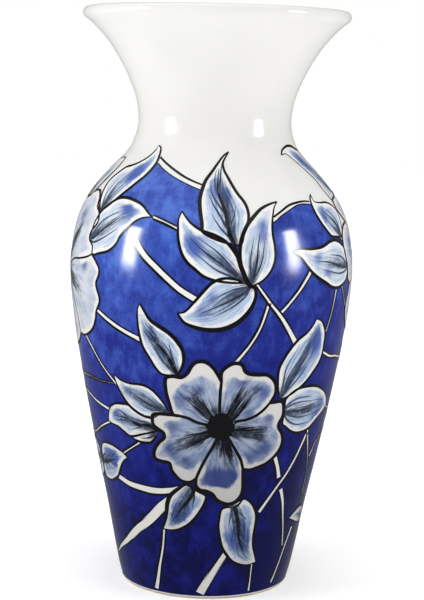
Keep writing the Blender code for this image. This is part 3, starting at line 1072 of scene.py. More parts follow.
# Each leaf: name, root, tip, one side and the other from root to tip, then how it is painted.
HAND_LEAVES = [
    ("leaf_tall", (8.8, 185.6), (9.4, 229.1),
     [(2, 188), (-3.8, 191.9), (-4.1, 195), (-5.3, 201.9), (-5.8, 206.9), (-5, 211.9), (-3.8, 215.6),
      (-0.6, 220), (2.5, 223.8), (6.3, 227.5)],
     [(11.3, 186), (12.5, 191), (14.7, 197.5), (14.9, 201.5), (13.8, 205.6), (11, 210), (7.5, 216.9),
      (5.6, 220.6), (5.3, 224)],
     dict(widths=(1.8, 1.5), blues=[(1.5, 212, 6), (6, 208, 4)], veins=1, branches=4, reach=0.85,
      shade=0.35)),
    ("leaf_spray_left", (13.4, 167.5), (-12.8, 200.9),
     [(7, 167.6), (0.6, 168.8), (-3.1, 170.6), (-6.3, 173.8), (-8.8, 176.3), (-11.3, 180.6),
      (-13.1, 187.5), (-13.6, 192.5), (-13.8, 197.5)],
     [(11.9, 172.5), (10.6, 177.5), (8.1, 183.1), (5, 187.5), (1.3, 190), (-5, 192.7), (-9.4, 196.3)],
     dict(widths=(1.5, 1.5), blues=[(-8, 188, 5.5), (-6, 182, 5)], reach=0.75)),
    ("leaf_spray_right", (14.7, 165.9), (29.4, 205.9),
     [(12.8, 169.4), (11.6, 174.4), (10.8, 180), (10.9, 185), (11.9, 190), (14, 195), (16.9, 198.8),
      (20.6, 202.5), (25, 204.7)],
     [(16.3, 166.3), (20, 168.8), (23.1, 173.1), (24.9, 178.8), (25, 185), (24.5, 190), (24.7, 195),
      (25.9, 200), (27.5, 203.8)],
     dict(widths=(1.9, 1.2), blues=[(20.7, 195, 3.4), (20.2, 189, 3.6)], pale=0.6, reach=0.62)),
    ("leaf_spray_low", (14.7, 165.6), (-12.5, 151.9),
     [(13.1, 167.2), (9.4, 169.1), (5.6, 169.7), (2.5, 168.8), (0, 166.9), (-3.1, 162.5),
      (-6.3, 157.5), (-10, 152.5)],
     [(16.6, 165), (17.2, 161.3), (16.3, 156.9), (13.8, 151.9), (10, 147.5), (5, 144.7), (0, 144.1),
      (-5, 145), (-10, 147.5)],
     dict(widths=(1.5, 2.3), blues=[(-3.5, 153, 5), (1, 160, 3.5)], reach=0.75, shade=0.35)),
    ("leaf_high_left", (-55.3, 197.5), (-40.3, 230.9),
     [(-59, 202), (-62.5, 208), (-63.8, 213), (-60, 217.8), (-57.5, 219.7), (-53.8, 220.6),
      (-49.4, 222.2), (-44.4, 225.3), (-41.3, 228.8)],
     [(-51.3, 200.9), (-46.3, 206.3), (-40.6, 213.1), (-37.5, 216.9), (-35.5, 222.5), (-36.1, 225.6),
      (-38.1, 230)],
     dict(widths=(1.6, 1.7), blues=[(-43, 220, 6), (-47, 215, 5)], pale=0.7, reach=0.6)),
    ("leaf_drooping", (-58, 184.4), (-25, 197.5),
     [(-57, 191), (-54.4, 198), (-50, 202.5), (-46.3, 205), (-41.9, 205.6), (-35.6, 204.4),
      (-31.3, 202.5), (-26.3, 198.1)],
     [(-54.4, 176.6), (-50, 177.5), (-44.4, 179.4), (-40.6, 183.1), (-38.8, 187.5), (-35, 192.5),
      (-32.8, 195), (-29.4, 196.9)],
     dict(widths=(1.7, 1.3), blues=[(-35.5, 198.5, 5), (-40, 201, 4)], pale=0.6, reach=0.65, shade=0.4)),
    ("leaf_far_left", (-80, 202), (-70, 224),
     [(-88, 208), (-88, 217), (-80, 223)], [(-73.5, 206), (-70.3, 212), (-68, 219)],
     dict(widths=(1.2, 1.5), blues=[(-76, 216, 3)], pale=0.35)),
    ("leaf_mid_left", (-12.5, 120.6), (-28.1, 155.3),
     [(-19.4, 120.6), (-21.9, 123.1), (-25, 128.8), (-27.5, 133.8), (-28.8, 140), (-29.3, 146.3),
      (-29.1, 152.5)],
     [(-11.6, 123.1), (-10.3, 127.5), (-10.6, 133.1), (-13.1, 138.1), (-16.3, 141.9), (-20.6, 145),
      (-23.8, 147.5), (-26.3, 151.9)],
     dict(widths=(1.4, 2.0), blues=[(-23.5, 141, 5)], veins=3, branches=2, shade=0.6)),
    ("leaf_side_upper", (-17, 100.8), (-44.4, 117.2),
     [(-18.8, 104.4), (-21.9, 109.1), (-25, 112.2), (-28.8, 113.8), (-35, 113.8), (-40.6, 114.7)],
     [(-21, 100), (-25.6, 97.3), (-30, 97.8), (-34.4, 100), (-37.5, 102.5), (-40.6, 106.9),
      (-43.1, 111.9)],
     dict(widths=(1.2, 1.5), blues=[(-37, 111, 3.5)], shade=0.45)),
    ("leaf_side_lower", (-23, 90.8), (-52.3, 93.5),
     [(-25.3, 97), (-30, 97.8), (-34.4, 100), (-37.5, 102.2), (-41.9, 102.2), (-46.3, 101.3),
      (-50.6, 98.1)],
     [(-30.6, 88), (-38.8, 85.6), (-42.5, 87.5), (-46.3, 89.4), (-50, 90), (-52.5, 91)],
     dict(widths=(1.4, 1.3), blues=[(-46, 96.5, 5)], veins=2, branches=2, shade=0.6)),
    ("leaf_side_lobe", (-23.1, 89.8), (-38.8, 85.6),
     [(-27, 89.2), (-30.6, 88), (-35, 86.6)], [(-25, 86.3), (-26.9, 84.1), (-31.3, 83.4), (-35.6, 84.1)],
     dict(widths=(0.9, 1.4), veins=1, pale=0.5)),
    ("leaf_low_side", (-66.3, 67.5), (-42.5, 73.1),
     [(-66.9, 72), (-65, 75.8), (-63.1, 77.2), (-58.8, 78.1), (-53.8, 78.1), (-50, 77.2), (-45, 75.3)],
     [(-68.8, 62), (-67.5, 58), (-65, 57.2), (-60, 57.5), (-56.3, 59.1), (-52.5, 61.3), (-50, 65),
      (-47.5, 68.8), (-45, 71.6)],
     dict(widths=(1.3, 1.4), blues=[(-57, 72, 7), (-52, 70, 5)], pale=0.95, veins=1, branches=3)),
    ("leaf_low_far", (-70, 68), (-94, 66),
     [(-72, 74), (-79, 77), (-88, 73)], [(-70.6, 60), (-79, 56), (-88, 60)],
     dict(widths=(1.3, 1.4), blues=[(-84, 66, 5)])),
    ("leaf_right_tall", (32, 108.5), (46.9, 147.5),
     [(30.5, 115), (30, 123.1), (31.3, 127.5), (33.8, 132.5), (37.5, 137.5), (42.5, 141.3), (45.6, 145)],
     [(33.8, 107.8), (37.5, 109.4), (42.5, 112.5), (46.3, 115.6), (50, 120), (53.1, 124.4),
      (54.4, 128.8), (54.4, 133.8), (54.1, 138.8), (52.8, 142.5), (50, 146.3)],
     dict(widths=(1.5, 1.6), blues=[(49, 139, 6), (48, 132, 7), (42, 122, 4)], veins=4, shade=0.5)),
    ("leaf_right_side", (36.5, 100), (70.6, 98.5),
     [(35.6, 106.9), (38.1, 110), (42.5, 112.2), (48.8, 112.5), (55, 111.6), (60, 109.4), (65, 106.3),
      (68.8, 102.5)],
     [(35.9, 94.4), (38.1, 92.5), (41.3, 90), (45, 88.4), (50, 88.1), (55, 89.1), (59.4, 91.9),
      (63.8, 94.4), (67.5, 96.3)],
     dict(widths=(1.5, 1.5), blues=[(62, 101.5, 6), (58, 94, 5)], veins=5, shade=1.0)),
    ("leaf_low_left", (-7, 62), (-24.4, 37.8),
     [(-10, 63.4), (-15, 60), (-18.8, 56.3), (-20.6, 51.9), (-21.3, 47.5), (-22.5, 42.5)],
     [(-4.4, 60), (0, 57.5), (-0.6, 53.8), (-3.1, 48.8), (-6.3, 44.4), (-10, 41), (-15, 38.4),
      (-20, 37.5)],
     dict(widths=(2.2, 1.5), blues=[(-15, 45, 7), (-11, 50, 6)], pale=1.0, veins=1,
      branches=3, reach=0.72, shade=1.0)),
    ("leaf_low_right", (15, 51.5), (33.1, 19.4),
     [(8.8, 50.6), (7.5, 45), (7.2, 41.3), (8.1, 35.6), (10, 29.4), (13.1, 25), (16.9, 21.3),
      (21.3, 19.4), (26.3, 18.4), (30.6, 18.8)],
     [(16.9, 51.9), (20, 55.6), (23.8, 53.8), (26.9, 50), (28.8, 45.6), (29.1, 40.6), (28.8, 34.4),
      (29.4, 28.8), (31.3, 23.8)],
     dict(widths=(1.5, 1.6), blues=[(15, 33, 7), (24, 31, 6), (20, 40, 5)], pale=1.0, veins=1,
      branches=3, reach=0.78, shade=0.9)),
    ("leaf_high_right", (83, 208), (48.8, 227.5),
     [(88, 216), (86, 224), (78, 229.4), (73.8, 230), (67.5, 231.4), (61.3, 231.8), (56.3, 231.1),
      (51.9, 229.7)],
     [(77, 205), (71.8, 204.6), (69.4, 206), (67.5, 210), (66.9, 215), (64.4, 219.4), (61.3, 223.1),
      (58.1, 225.9), (54.4, 228.1)],
     dict(widths=(1.6, 0.8), blues=[(66, 226, 5), (72, 222, 5)], pale=0.7)),
    ("leaf_right_upper", (65.6, 187), (51.9, 208.8),
     [(60, 187.5), (56.9, 188.1), (53.8, 191.3), (51.3, 195), (49.4, 200), (49.1, 203.8), (50, 206.9)],
     [(67.5, 188.8), (69.1, 194.4), (69.4, 199.4), (68.1, 201.3), (65.6, 203.1), (61.3, 204.4),
      (55, 204.6), (51.6, 205.6)],
     dict(widths=(1.5, 1.1), blues=[(56, 201, 4.5), (54, 196, 3)])),
    ("leaf_right_long", (70.6, 172), (33, 182),
     [(68.8, 177.5), (66.9, 181.3), (63.1, 184.4), (58.8, 185.9), (55, 185.6), (48.8, 183.4),
      (42.5, 182.8), (36.3, 183.1)],
     [(68.8, 165.6), (65, 163.1), (60, 161.9), (55, 162.8), (51.3, 165), (46.3, 168.1), (42.5, 171.3),
      (40, 174.4), (36.9, 178.8)],
     dict(widths=(1.5, 1.7), blues=[(46, 178, 4), (52, 170, 4)], shade=0.35, pale=0.6)),
    ("leaf_low_edge", (78, 37), (55.6, 39.7),
     [(73, 43), (66, 44), (60, 42)], [(73, 34.5), (66, 35.5), (59.4, 38.1)],
     dict(widths=(1.2, 1.3), blues=[(68, 39, 3)], veins=1)),
]

# Each petal: part, line between it and the one before, rim clockwise, blue spots and dark streaks.
FRONT_BLOSSOM = [
    ("upper_left", [(-1.3, 95.9), (-5, 96.9), (-8.8, 98.8), (-12.5, 99.7)],
     [(-15, 100), (-16.9, 106.3), (-18.1, 112.5), (-17.8, 118.8), (-15, 120), (-11.3, 119.7),
      (-8.8, 121.9), (-6.9, 125.9), (-5, 127.8), (-1.9, 128.1), (1.3, 125.6), (3.8, 121.3)],
     [(-12, 108, 5), (-3, 114, 3)], [((1.5, 99), (-8.8, 112.5), 5.0)], (-2.5, 126, 6), (-16, 117, 4)),
    ("upper_right", [(5.3, 100.3), (5, 105), (5, 112.5), (5.3, 118)],
     [(5.3, 123.1), (8.8, 126.9), (11.3, 127.5), (13.4, 126.6), (15, 123.1), (16.9, 121.9),
      (21.3, 121.3), (24.4, 121.1), (27.5, 118.8), (29.4, 115), (29.5, 110.6)],
     [(13, 117, 5), (24, 112, 5), (18, 101, 4)],
     [((8, 98.5), (16.6, 116.5), 3.6), ((10.4, 98), (20.8, 114.2), 2.8)], (11, 126, 5.5)),
    ("right", [(13.1, 97.5), (16.9, 98.1), (21.3, 100), (25, 103.1), (27.5, 106.3)],
     [(30, 106.4), (33.8, 106.3), (35, 103.1), (35.3, 98.8), (33.8, 95), (33.8, 93.1), (36.3, 89.4),
      (37.5, 85.6), (36.9, 81.3), (33.8, 76.9), (30, 74), (25, 72.2), (21.3, 71.3)],
     [(21, 78, 5), (28, 83, 5), (28, 98, 4)], [((11, 92), (29, 90.0), 6.0)], (32, 103, 4)),
    ("lower", [(10, 88.1), (13.1, 82.5), (16.3, 76.9), (17.8, 71.9)],
     [(18.4, 65.6), (18.8, 61.3), (18.1, 57.5), (15.6, 54.4), (11.9, 53.1), (8.8, 53.8), (5.6, 55.6),
      (3.1, 58.8), (0, 60.3), (-3.1, 60.9), (-5, 63.1)],
     [(0.5, 68, 6.5), (7, 66.5, 7), (13.5, 67, 6.5)],
     [((6.5, 89), (8, 76), 4.5), ((8.6, 88), (12.5, 74), 3.0)], (11, 57, 6)),
    ("left", [(4.4, 88.1), (2.5, 83.8), (-0.6, 77.5), (-3.1, 71.9), (-5, 66.9)],
     [(-7.5, 65), (-10, 64.7), (-12.5, 65.3), (-15, 67.5), (-17.2, 70.6), (-18.1, 74.1), (-21.9, 74.7),
      (-25, 75.6), (-25.9, 77.5), (-25, 81.3), (-22.5, 85), (-20, 87.5), (-20.3, 90), (-22.5, 91.6),
      (-25, 93.8), (-25.3, 97.5), (-25, 98.8), (-22.5, 99.7), (-17.5, 99.9)],
     [(-16, 93, 4.5), (-10, 75, 4.5), (-17, 81, 4.5)], [((1, 91), (-14.5, 84), 6.0)], (-12, 68, 4),
     (-22, 98, 3)),
]
LEFT_BLOSSOM = [
    ("upper_right", [(-87.5, 174), (-90, 183), (-92, 193)],
     [(-91, 201), (-85, 203.5), (-78, 203.6), (-75, 204.4), (-72.5, 206.3), (-66.9, 207.5),
      (-61.9, 204.4), (-59.4, 200), (-55.6, 196.9), (-54.4, 192.5), (-58.1, 186.9), (-58.1, 183.8),
      (-55, 180.6)],
     [(-70, 194, 5)], [((-82, 173), (-67, 192), 5.0)]),
    ("right", [(-80, 169), (-71.3, 172.2), (-65, 173.1), (-57.5, 175), (-54.7, 176.5)],
     [(-51.9, 173.8), (-49.1, 170), (-49.1, 166.9), (-50.9, 162.5), (-50.6, 160), (-49.1, 155.6),
      (-49.1, 153.1), (-51.9, 147.5), (-52.5, 144.4), (-55, 139.4), (-59.4, 135.6), (-64.4, 133.8)],
     [(-60, 170, 4)], [((-82, 165.5), (-65, 155.5), 6.0)]),
    ("lower", [(-82, 161), (-76, 153), (-70.3, 142.5), (-69, 134)],
     [(-72.5, 130), (-76.9, 127.5), (-85, 125.6), (-95, 128)],
     [(-86, 138, 6)], [((-86, 162), (-86, 148), 6.0)]),
    ("left", [(-90, 162), (-97, 151), (-103, 139)],
     [(-110, 138), (-118, 145), (-122, 155), (-118, 163)],
     [(-110, 153, 6)], [((-93, 165), (-107, 157), 6.0)]),
    ("upper_left", [(-92, 169), (-102, 171.5), (-116, 173)],
     [(-122, 179), (-123, 189), (-116, 197), (-107, 200), (-98, 196)],
     [(-109, 187, 6)], [((-91, 173), (-103, 186), 6.0)]),
]
RIGHT_BLOSSOM = [
    ("upper", [(93, 177), (86, 185), (78, 193.5)],
     [(73, 197.5), (70.6, 201), (71, 204.5), (78, 206.3), (88, 208), (97, 206), (103, 201)],
     [(85, 199, 5)], [((94, 178), (87, 194), 5.5)]),
    ("upper_back", [(101, 178), (104, 187), (107, 196)],
     [(117, 198), (125, 190), (128, 180), (125, 171)],
     [(116, 186, 6)], [((103, 175), (116, 182), 6.0)]),
    ("lower_back", [(104, 170), (113, 167), (122, 165)],
     [(125, 158), (121, 149), (113, 142), (105, 139)],
     [(113, 152, 6)], [((103, 167), (112, 156), 5.5)]),
    ("lower", [(99, 166), (98, 155), (98, 141)],
     [(92, 137), (85, 137), (77, 141), (72.5, 147), (72, 153), (74, 158)],
     [(84, 148, 6)], [((96, 167), (87, 153), 5.5)]),
    ("front", [(93, 169), (84, 166), (75, 162)],
     [(71.3, 165), (70.5, 172), (68, 178), (66.8, 183), (67.5, 188), (71, 192)],
     [(77, 183, 5)], [((93, 173), (78, 177), 5.5)]),
]

# Each group of stems: name, then runs of (points, widths from one end to the other).
STEMS = [
    ("stems_shoulder", [
        ([(-25, 197.5), (-19, 195.2), (-13.5, 192.5)], [1.3, 1.3]),
        ([(-34, 190), (-27.2, 179.7), (-21.3, 173.4), (-16.3, 168.1), (-11.3, 163.1), (-3.5, 157.5)],
         [3.4, 3.2, 3.0]),
        ([(-53, 150), (-44.4, 144.7), (-38.1, 141.3), (-27, 136.4)], [2.2, 2.4, 2.4]),
        ([(17, 167.5), (23.1, 157.5), (28.8, 149.4), (36.8, 136)], [1.2, 2.2, 3.0]),
        ([(22.8, 157.6), (20, 145.6), (16.3, 136.9), (10.8, 128)], [1.7, 1.7]),
        ([(43.5, 175), (36.3, 163.1), (30, 154.4), (28, 152)], [2.5, 2.0, 1.5]),
        ([(59.3, 163.5), (57.8, 153.8), (56.3, 146.3), (53.6, 137.5)], [1.7, 1.0]),
        ([(63.6, 164), (67.5, 156.3), (73, 149)], [1.2, 1.2]),
        ([(60.6, 188), (63.5, 187), (66.9, 185.5)], [1.4, 1.0]),
    ]),
    ("stems_belly", [
        ([(53.5, 130), (61.3, 126.3), (68.8, 125), (78, 123), (90, 124), (101, 126)], [1.6, 1.6]),
        ([(-32.3, 83.8), (-38.8, 79.4), (-47, 74)], [1.3, 1.3]),
        ([(-64.5, 136), (-57.5, 127.5), (-51.3, 119.8), (-43.5, 112)], [1.8, 1.3]),
        ([(-102, 115), (-88, 113), (-75, 111.6), (-65, 112.2), (-53.8, 111.8), (-45, 112)], [1.6, 1.2, 0.4]),
        ([(-105, 107), (-88, 104), (-70, 101.9), (-64.4, 100.3), (-58.1, 98.8), (-48.8, 97)], [1.6, 1.6]),
        ([(-110, 76), (-92, 78), (-73.8, 80.6), (-68.8, 82.5), (-61.3, 86.3), (-50, 91.5)], [1.2, 1.2]),
        ([(30.3, 47.3), (35, 53.8), (40, 60.6), (45, 66.9), (50, 75.6), (56.2, 90.5)], [2.0, 2.0]),
        ([(54.0, 90.5), (56.9, 82.5), (60, 75), (63.1, 67.5), (65, 60), (66.3, 51.3)], [1.7, 0.8]),
        ([(92, 82), (80, 83), (67.5, 78.8), (65, 75.2), (63.1, 72.5)], [1.3, 1.3]),
    ]),
    ("stems_foot", [
        ([(-52.5, 61.5), (-50, 60.8), (-43.8, 59.1), (-35, 58.3), (-28.8, 58), (-22.5, 58.5),
          (-17.5, 59.7), (-12.5, 61.9), (-9.4, 63.4)], [2.8, 3.4, 4.0, 3.4, 0.8]),
        ([(-17.5, 54.8), (-24.4, 49.4), (-29.4, 44.4), (-35, 39.7), (-42.5, 34.7), (-50, 29),
          (-55, 25.6), (-60, 22.8), (-65, 20.1), (-70, 17.1), (-74.4, 15.3)],
         [4.8, 4.8, 4.7, 4.4, 4.1, 3.0, 1.8, 0.4]),
        ([(-23.4, 39.5), (-25.3, 27.5), (-28.4, 16.9), (-30.9, 8.1), (-32.8, 3.2)], [1.3, 2.5]),
        ([(14, 28.2), (5.9, 16.3), (0.6, 8.1), (-2.4, 3.4)], [3.0, 4.3]),
        ([(30.2, 20.5), (30.6, 9.4), (30.9, 3.3)], [1.4, 1.4]),
        ([(61.9, 33.8), (57.5, 23.8), (54.4, 15), (50.4, 5)], [2.0, 1.6]),
    ]),
    ("stems_under", [
        ([(34, 78), (37.5, 70.6), (39.4, 65)], [2.8, 2.6]),
        ([(42.5, 58.1), (45.6, 51.9), (48.8, 42.5), (51.3, 35.6), (54.4, 25)], [2.6, 1.8, 1.0]),
    ]),
    ("stems_back", [
        ([(150, 166), (141, 150), (134, 132), (131, 112), (124, 97), (116, 86)], [1.4, 2.4, 2.4, 1.6]),
        ([(150, 166), (160, 148), (168, 132), (174, 121)], [1.3, 1.8, 2.0]),
        ([(-150, 163), (-158, 148), (-166, 134), (-172, 121)], [1.4, 2.0, 2.4]),
        ([(-150, 163), (-138, 146), (-130, 128), (-126, 108), (-119, 93), (-111, 84)],
         [1.3, 2.0, 2.2, 1.4]),
        ([(114, 153), (122, 150), (132, 146), (144, 140), (153, 132)], [1.6, 1.2]),
        ([(-110, 152), (-124, 148), (-134, 142), (-145, 136), (-151, 131)], [1.7, 1.2]),
        ([(98, 138), (101, 124), (103, 112)], [2.0, 1.6]),
        ([(-97, 128), (-102, 116), (-106, 104)], [2.0, 1.5]),
        ([(148, 84), (139, 74), (130, 62)], [2.2, 1.6]),
        ([(-152, 82), (-143, 72), (-134, 60), (-128, 44), (-124, 26), (-122, 11)], [2.0, 1.6, 2.0]),
        ([(104, 111), (112, 98), (116, 82), (113, 66), (110, 50), (108, 34), (104, 16), (102, 4)],
         [1.2, 1.8, 2.6, 2.8]),
        ([(-106, 103), (-111, 92), (-111, 80), (-108, 66), (-104, 48), (-102, 30), (-100, 14), (-99, 4)],
         [1.2, 1.8, 2.4, 2.6]),
        ([(173, 68), (172, 50), (164, 36), (158, 20), (155, 5)], [2.2, 3.4, 3.8]),
        ([(-167, 66), (-164, 44), (-156, 32), (-146, 22), (-132, 14), (-120, 10)], [4.2, 3.6, 2.2, 0.5]),
        ([(-176, 70), (-176, 52), (-178, 36), (-179, 20), (-178, 4)], [1.8, 2.2]),
        ([(130, 63), (133, 50), (134, 38), (130, 26), (128, 12), (127, 4)], [1.4, 1.8]),
        ([(69, 98.5), (80, 94), (89, 86), (97, 74), (104, 62), (109, 48)], [0.8, 1.4, 1.4, 1.6]),
        ([(76, 37.5), (83, 24), (88, 4)], [1.3, 2.0]),
    ]),
]

# Each leaf of the back: name, root, heading, length, width, sway and how it is painted.
RULED_LEAVES = [
    ("leaf_back_right_tall", (150, 168), 0, 58, 17, 0.08, dict(widths=(1.9, 1.7))),
    ("leaf_back_right_upper", (151.5, 167), 64, 40, 16, -0.12, dict()),
    ("leaf_back_right_inner", (148.5, 167), -64, 40, 16, 0.14, dict()),
    ("leaf_back_right_low", (149, 164), -118, 30, 17, 0.12, dict(shade=0.4)),
    ("leaf_back_left_tall", (-150, 166), 0, 60, 17, -0.08, dict(widths=(1.8, 1.9))),
    ("leaf_back_left_inner", (-151.5, 165), -66, 38, 15, 0.10, dict()),
    ("leaf_back_left_upper", (-148.5, 165), 62, 42, 16, -0.14, dict()),
    ("leaf_back_left_low", (-149, 162), 122, 30, 16, -0.10, dict(shade=0.4)),
    ("leaf_back_bloom_upper_left", (163, 114), -38, 38, 17, 0.12, dict(shade=0.45)),
    ("leaf_back_bloom_upper_right", (-152, 114), 36, 40, 18, -0.12, dict(shade=0.45)),
    ("leaf_back_bloom_left", (158, 95), -84, 36, 17, 0.10, dict(shade=0.5)),
    ("leaf_back_bloom_right", (-146, 94), 82, 36, 18, 0.12, dict(shade=0.5)),
    ("leaf_back_bloom_low_left", (171, 66), -152, 34, 15, 0.14, dict(shade=0.6, pale=0.9)),
    ("leaf_back_bloom_low_right", (-166, 65), 158, 36, 16, -0.12, dict(shade=0.6, pale=0.9)),
    ("leaf_right_edge_upper", (103, 112), -54, 30, 15, 0.12, dict(shade=0.4)),
    ("leaf_right_edge_mid", (104, 108), 66, 32, 15, -0.12, dict(shade=0.4)),
    ("leaf_right_edge_low", (104, 52), 148, 32, 14, 0.12, dict(pale=0.9)),
    ("leaf_left_edge_upper", (-106, 104), -48, 30, 15, 0.12, dict(shade=0.4)),
    ("leaf_left_edge_mid", (-106, 101), 62, 20, 12, -0.10, dict(shade=0.4)),
    ("leaf_left_edge_low", (-104, 44), -150, 32, 14, -0.12, dict(pale=0.9)),
]

SPRAY_KNOT = [(7.4, 189), (9.4, 182), (11.9, 173), (14.2, 167), (15.6, 165.2)]

# The blue's upper edge all the way round, and the stretches where a line runs above it.
GROUND_EDGE = [
    (-180, 206), (-166, 211), (-152, 214), (-138, 211), (-125, 203), (-110, 196), (-95, 194),
    (-80, 195), (-65, 197), (-55, 200), (-47, 208), (-40, 218), (-35, 222.5), (-30, 220.6),
    (-25, 218.4), (-20, 216.3), (-15, 214.4), (-10, 212.5), (-5, 210.6), (5, 204), (15, 198),
    (20, 195.6), (25.6, 196.3), (30, 199.4), (35, 202), (40, 204.1), (45, 204.5), (52, 203),
    (60, 198), (68, 192), (80, 190), (95, 192), (105, 195), (118, 201), (130, 208), (142, 213),
    (154, 212), (167, 208), (180, 206),
]
GROUND_FOOT = 1.7
GROUND_COLUMNS = 240
GARLAND_LINES = [
    ([(-35, 225.6), (-30, 223.4), (-25, 221.3), (-20, 219.1), (-15, 216.9), (-10, 215), (-5, 213.4)],
     1.3),
    ([(26, 198.8), (30, 201.3), (35, 204.1), (40, 205.3), (45, 205.8), (48.5, 205.5)], 1.2),
    ([(-127, 207.5), (-133, 211), (-139, 214.2), (-145, 216.3)], 1.2),
    ([(-157, 216.4), (-163, 214.8), (-171, 211.8), (-180, 209.3)], 1.3),
    ([(180, 209.3), (171, 210.2), (163, 212.2)], 1.2),
    ([(143, 216.2), (136, 213.6), (129, 210.6), (122, 206.6)], 1.3),
]


# ---------------------------------------------------------------- settings, operators and panel


TREES = {}
PAINTS = {}
SETTINGS = None


def length_setting(name, description, default):
    """A setting that is a length in metres."""
    return bpy.props.FloatProperty(
        name=name, description=description, default=default, unit="LENGTH", subtype="DISTANCE"
    )


class VaseSettings(bpy.types.PropertyGroup):
    """Sizes of the making."""

    sides: bpy.props.IntProperty(
        name="Sides", description="Sides of each turned piece", default=192, min=32, max=512
    )
    brush_step: length_setting(
        "Brush Step", "Distance between the places of a painted line", 0.9 * MM
    )
    ground_step: length_setting("Ground Step", "Height of each row of the cobalt ground", 2.0 * MM)
    camera_distance: length_setting("Camera Distance", "From the camera to the vase's axis", 0.825)
    camera_height: length_setting("Camera Height", "From the table to the camera", 0.262)
    lens: bpy.props.FloatProperty(
        name="Lens", description="Focal length in millimetres", default=94.68
    )


class VASE_OT_turn_clay(bpy.types.Operator):
    """Turn the clay pieces and the slip that joins them"""

    bl_idname = "vase.turn_clay"
    bl_label = "Turn Clay"

    def execute(self, context):
        """Turn each clay node from its packed outline"""
        buff = clay_finish("buff_clay", BUFF_CLAY, RUST_CLAY)
        slip = clay_finish("joint_slip", RUST_CLAY, SLIP_CLAY)
        for finish, slot, nodes in (
            (buff, "bisque_clay", ("foot_ring", "body_pot", "neck_wall", "rim_roll")),
            (slip, "joint_slip", ("foot_slip", "neck_slip")),
        ):
            for node in nodes:
                outline, closed = node_outline(node)
                turn("turned_" + node, rounded(outline, closed), closed, finish, slot, node)
        return {"FINISHED"}


class VASE_OT_dip_coats(bpy.types.Operator):
    """Lay the tin-white coats on the pot, the neck and the inside"""

    bl_idname = "vase.dip_coats"
    bl_label = "Dip White Coats"

    def execute(self, context):
        """Turn the two outer coats and the lining"""
        crown = COAT[-1][0]
        outline, closed = node_outline("inside_glaze")
        for name, shape, closes, node in (
            ("pot_white_coat", coat_outline(COAT_START, COAT_JOINT), True, "body_glaze"),
            ("neck_white_coat", coat_outline(COAT_JOINT, crown), True, "neck_glaze"),
            ("inside_white_coat", rounded(outline, closed), closed, "inside_glaze"),
        ):
            turn(name, shape, closes, PAINTS["white"], "white_glaze", node)
        return {"FINISHED"}


class VASE_OT_brush_ground(bpy.types.Operator):
    """Brush the cobalt ground, with a fine line along its upper edge and lines above it"""

    bl_idname = "vase.brush_ground"
    bl_label = "Brush Cobalt Ground"

    def execute(self, context):
        """Fill up to the ground's edge, then draw the lines along it"""
        edge = spread(flowing(GROUND_EDGE, 2.0), GROUND_COLUMNS + 1)
        tallest = max(height for _, height in edge)
        count = round(tallest / (SETTINGS.ground_step / MM))
        rows = []
        for r in range(count + 1):
            share = r / count
            rows.append([(a, GROUND_FOOT + (h - GROUND_FOOT) * share) for a, h in edge])
        patch("cobalt_ground", rows, GROUND_LIFT, {}, ground_finish(), "cobalt_glaze", ring=True)
        fine = brushed(GROUND_EDGE)
        strokes = [(fine, [FINE_HALF] * len(fine), 0.85)]
        for points, width in GARLAND_LINES:
            strokes.append(stroke(brushed(points), width, GARLAND_TAPER, 0.95))
        ink_lines("garland_lines", strokes, GARLAND_LIFT)
        return {"FINISHED"}


class VASE_OT_draw_stems(bpy.types.Operator):
    """Leave the stems in white and line their sides"""

    bl_idname = "vase.draw_stems"
    bl_label = "Draw Stems"

    def execute(self, context):
        """Draw each group of stems"""
        for name, runs in STEMS:
            stems(name, runs)
        return {"FINISHED"}


class VASE_OT_paint_leaves(bpy.types.Operator):
    """Paint the leaves: the front ones as listed and the rest by rule"""

    bl_idname = "vase.paint_leaves"
    bl_label = "Paint Leaves"

    def execute(self, context):
        """Paint each leaf, and the dark knot where the front spray's leaves meet"""
        for name, root, tip, one, other, manner in HAND_LEAVES:
            leaf(name, root, tip, one, other, **manner)
        knot = stroke(flowing(SPRAY_KNOT, RIM_STEP), KNOT_WIDTH, KNOT_TAPER, FULL_INK)
        ink_lines("spray_knot", [knot], LEAF_LINE_LIFT)
        for name, root, heading, length, width, sway, manner in RULED_LEAVES:
            grown_leaf(name, root, heading, length, width, sway, **manner)
        return {"FINISHED"}


class VASE_OT_paint_blossoms(bpy.types.Operator):
    """Paint the four blossoms, petal by petal"""

    bl_idname = "vase.paint_blossoms"
    bl_label = "Paint Blossoms"

    def execute(self, context):
        """Paint three blossoms as listed and the back one by rule"""
        blossom("front_blossom", (5.7, 94.6), FRONT_BLOSSOM, 7.1)
        blossom("left_blossom", (-86, 168), LEFT_BLOSSOM, 6.0, line=1.3, pale=0.5)
        blossom("right_blossom", (98, 172), RIGHT_BLOSSOM, 6.0, line=1.4, pale=0.6)
        grown_blossom("back_blossom", (186, 96), reach=33, lean=12)
        return {"FINISHED"}


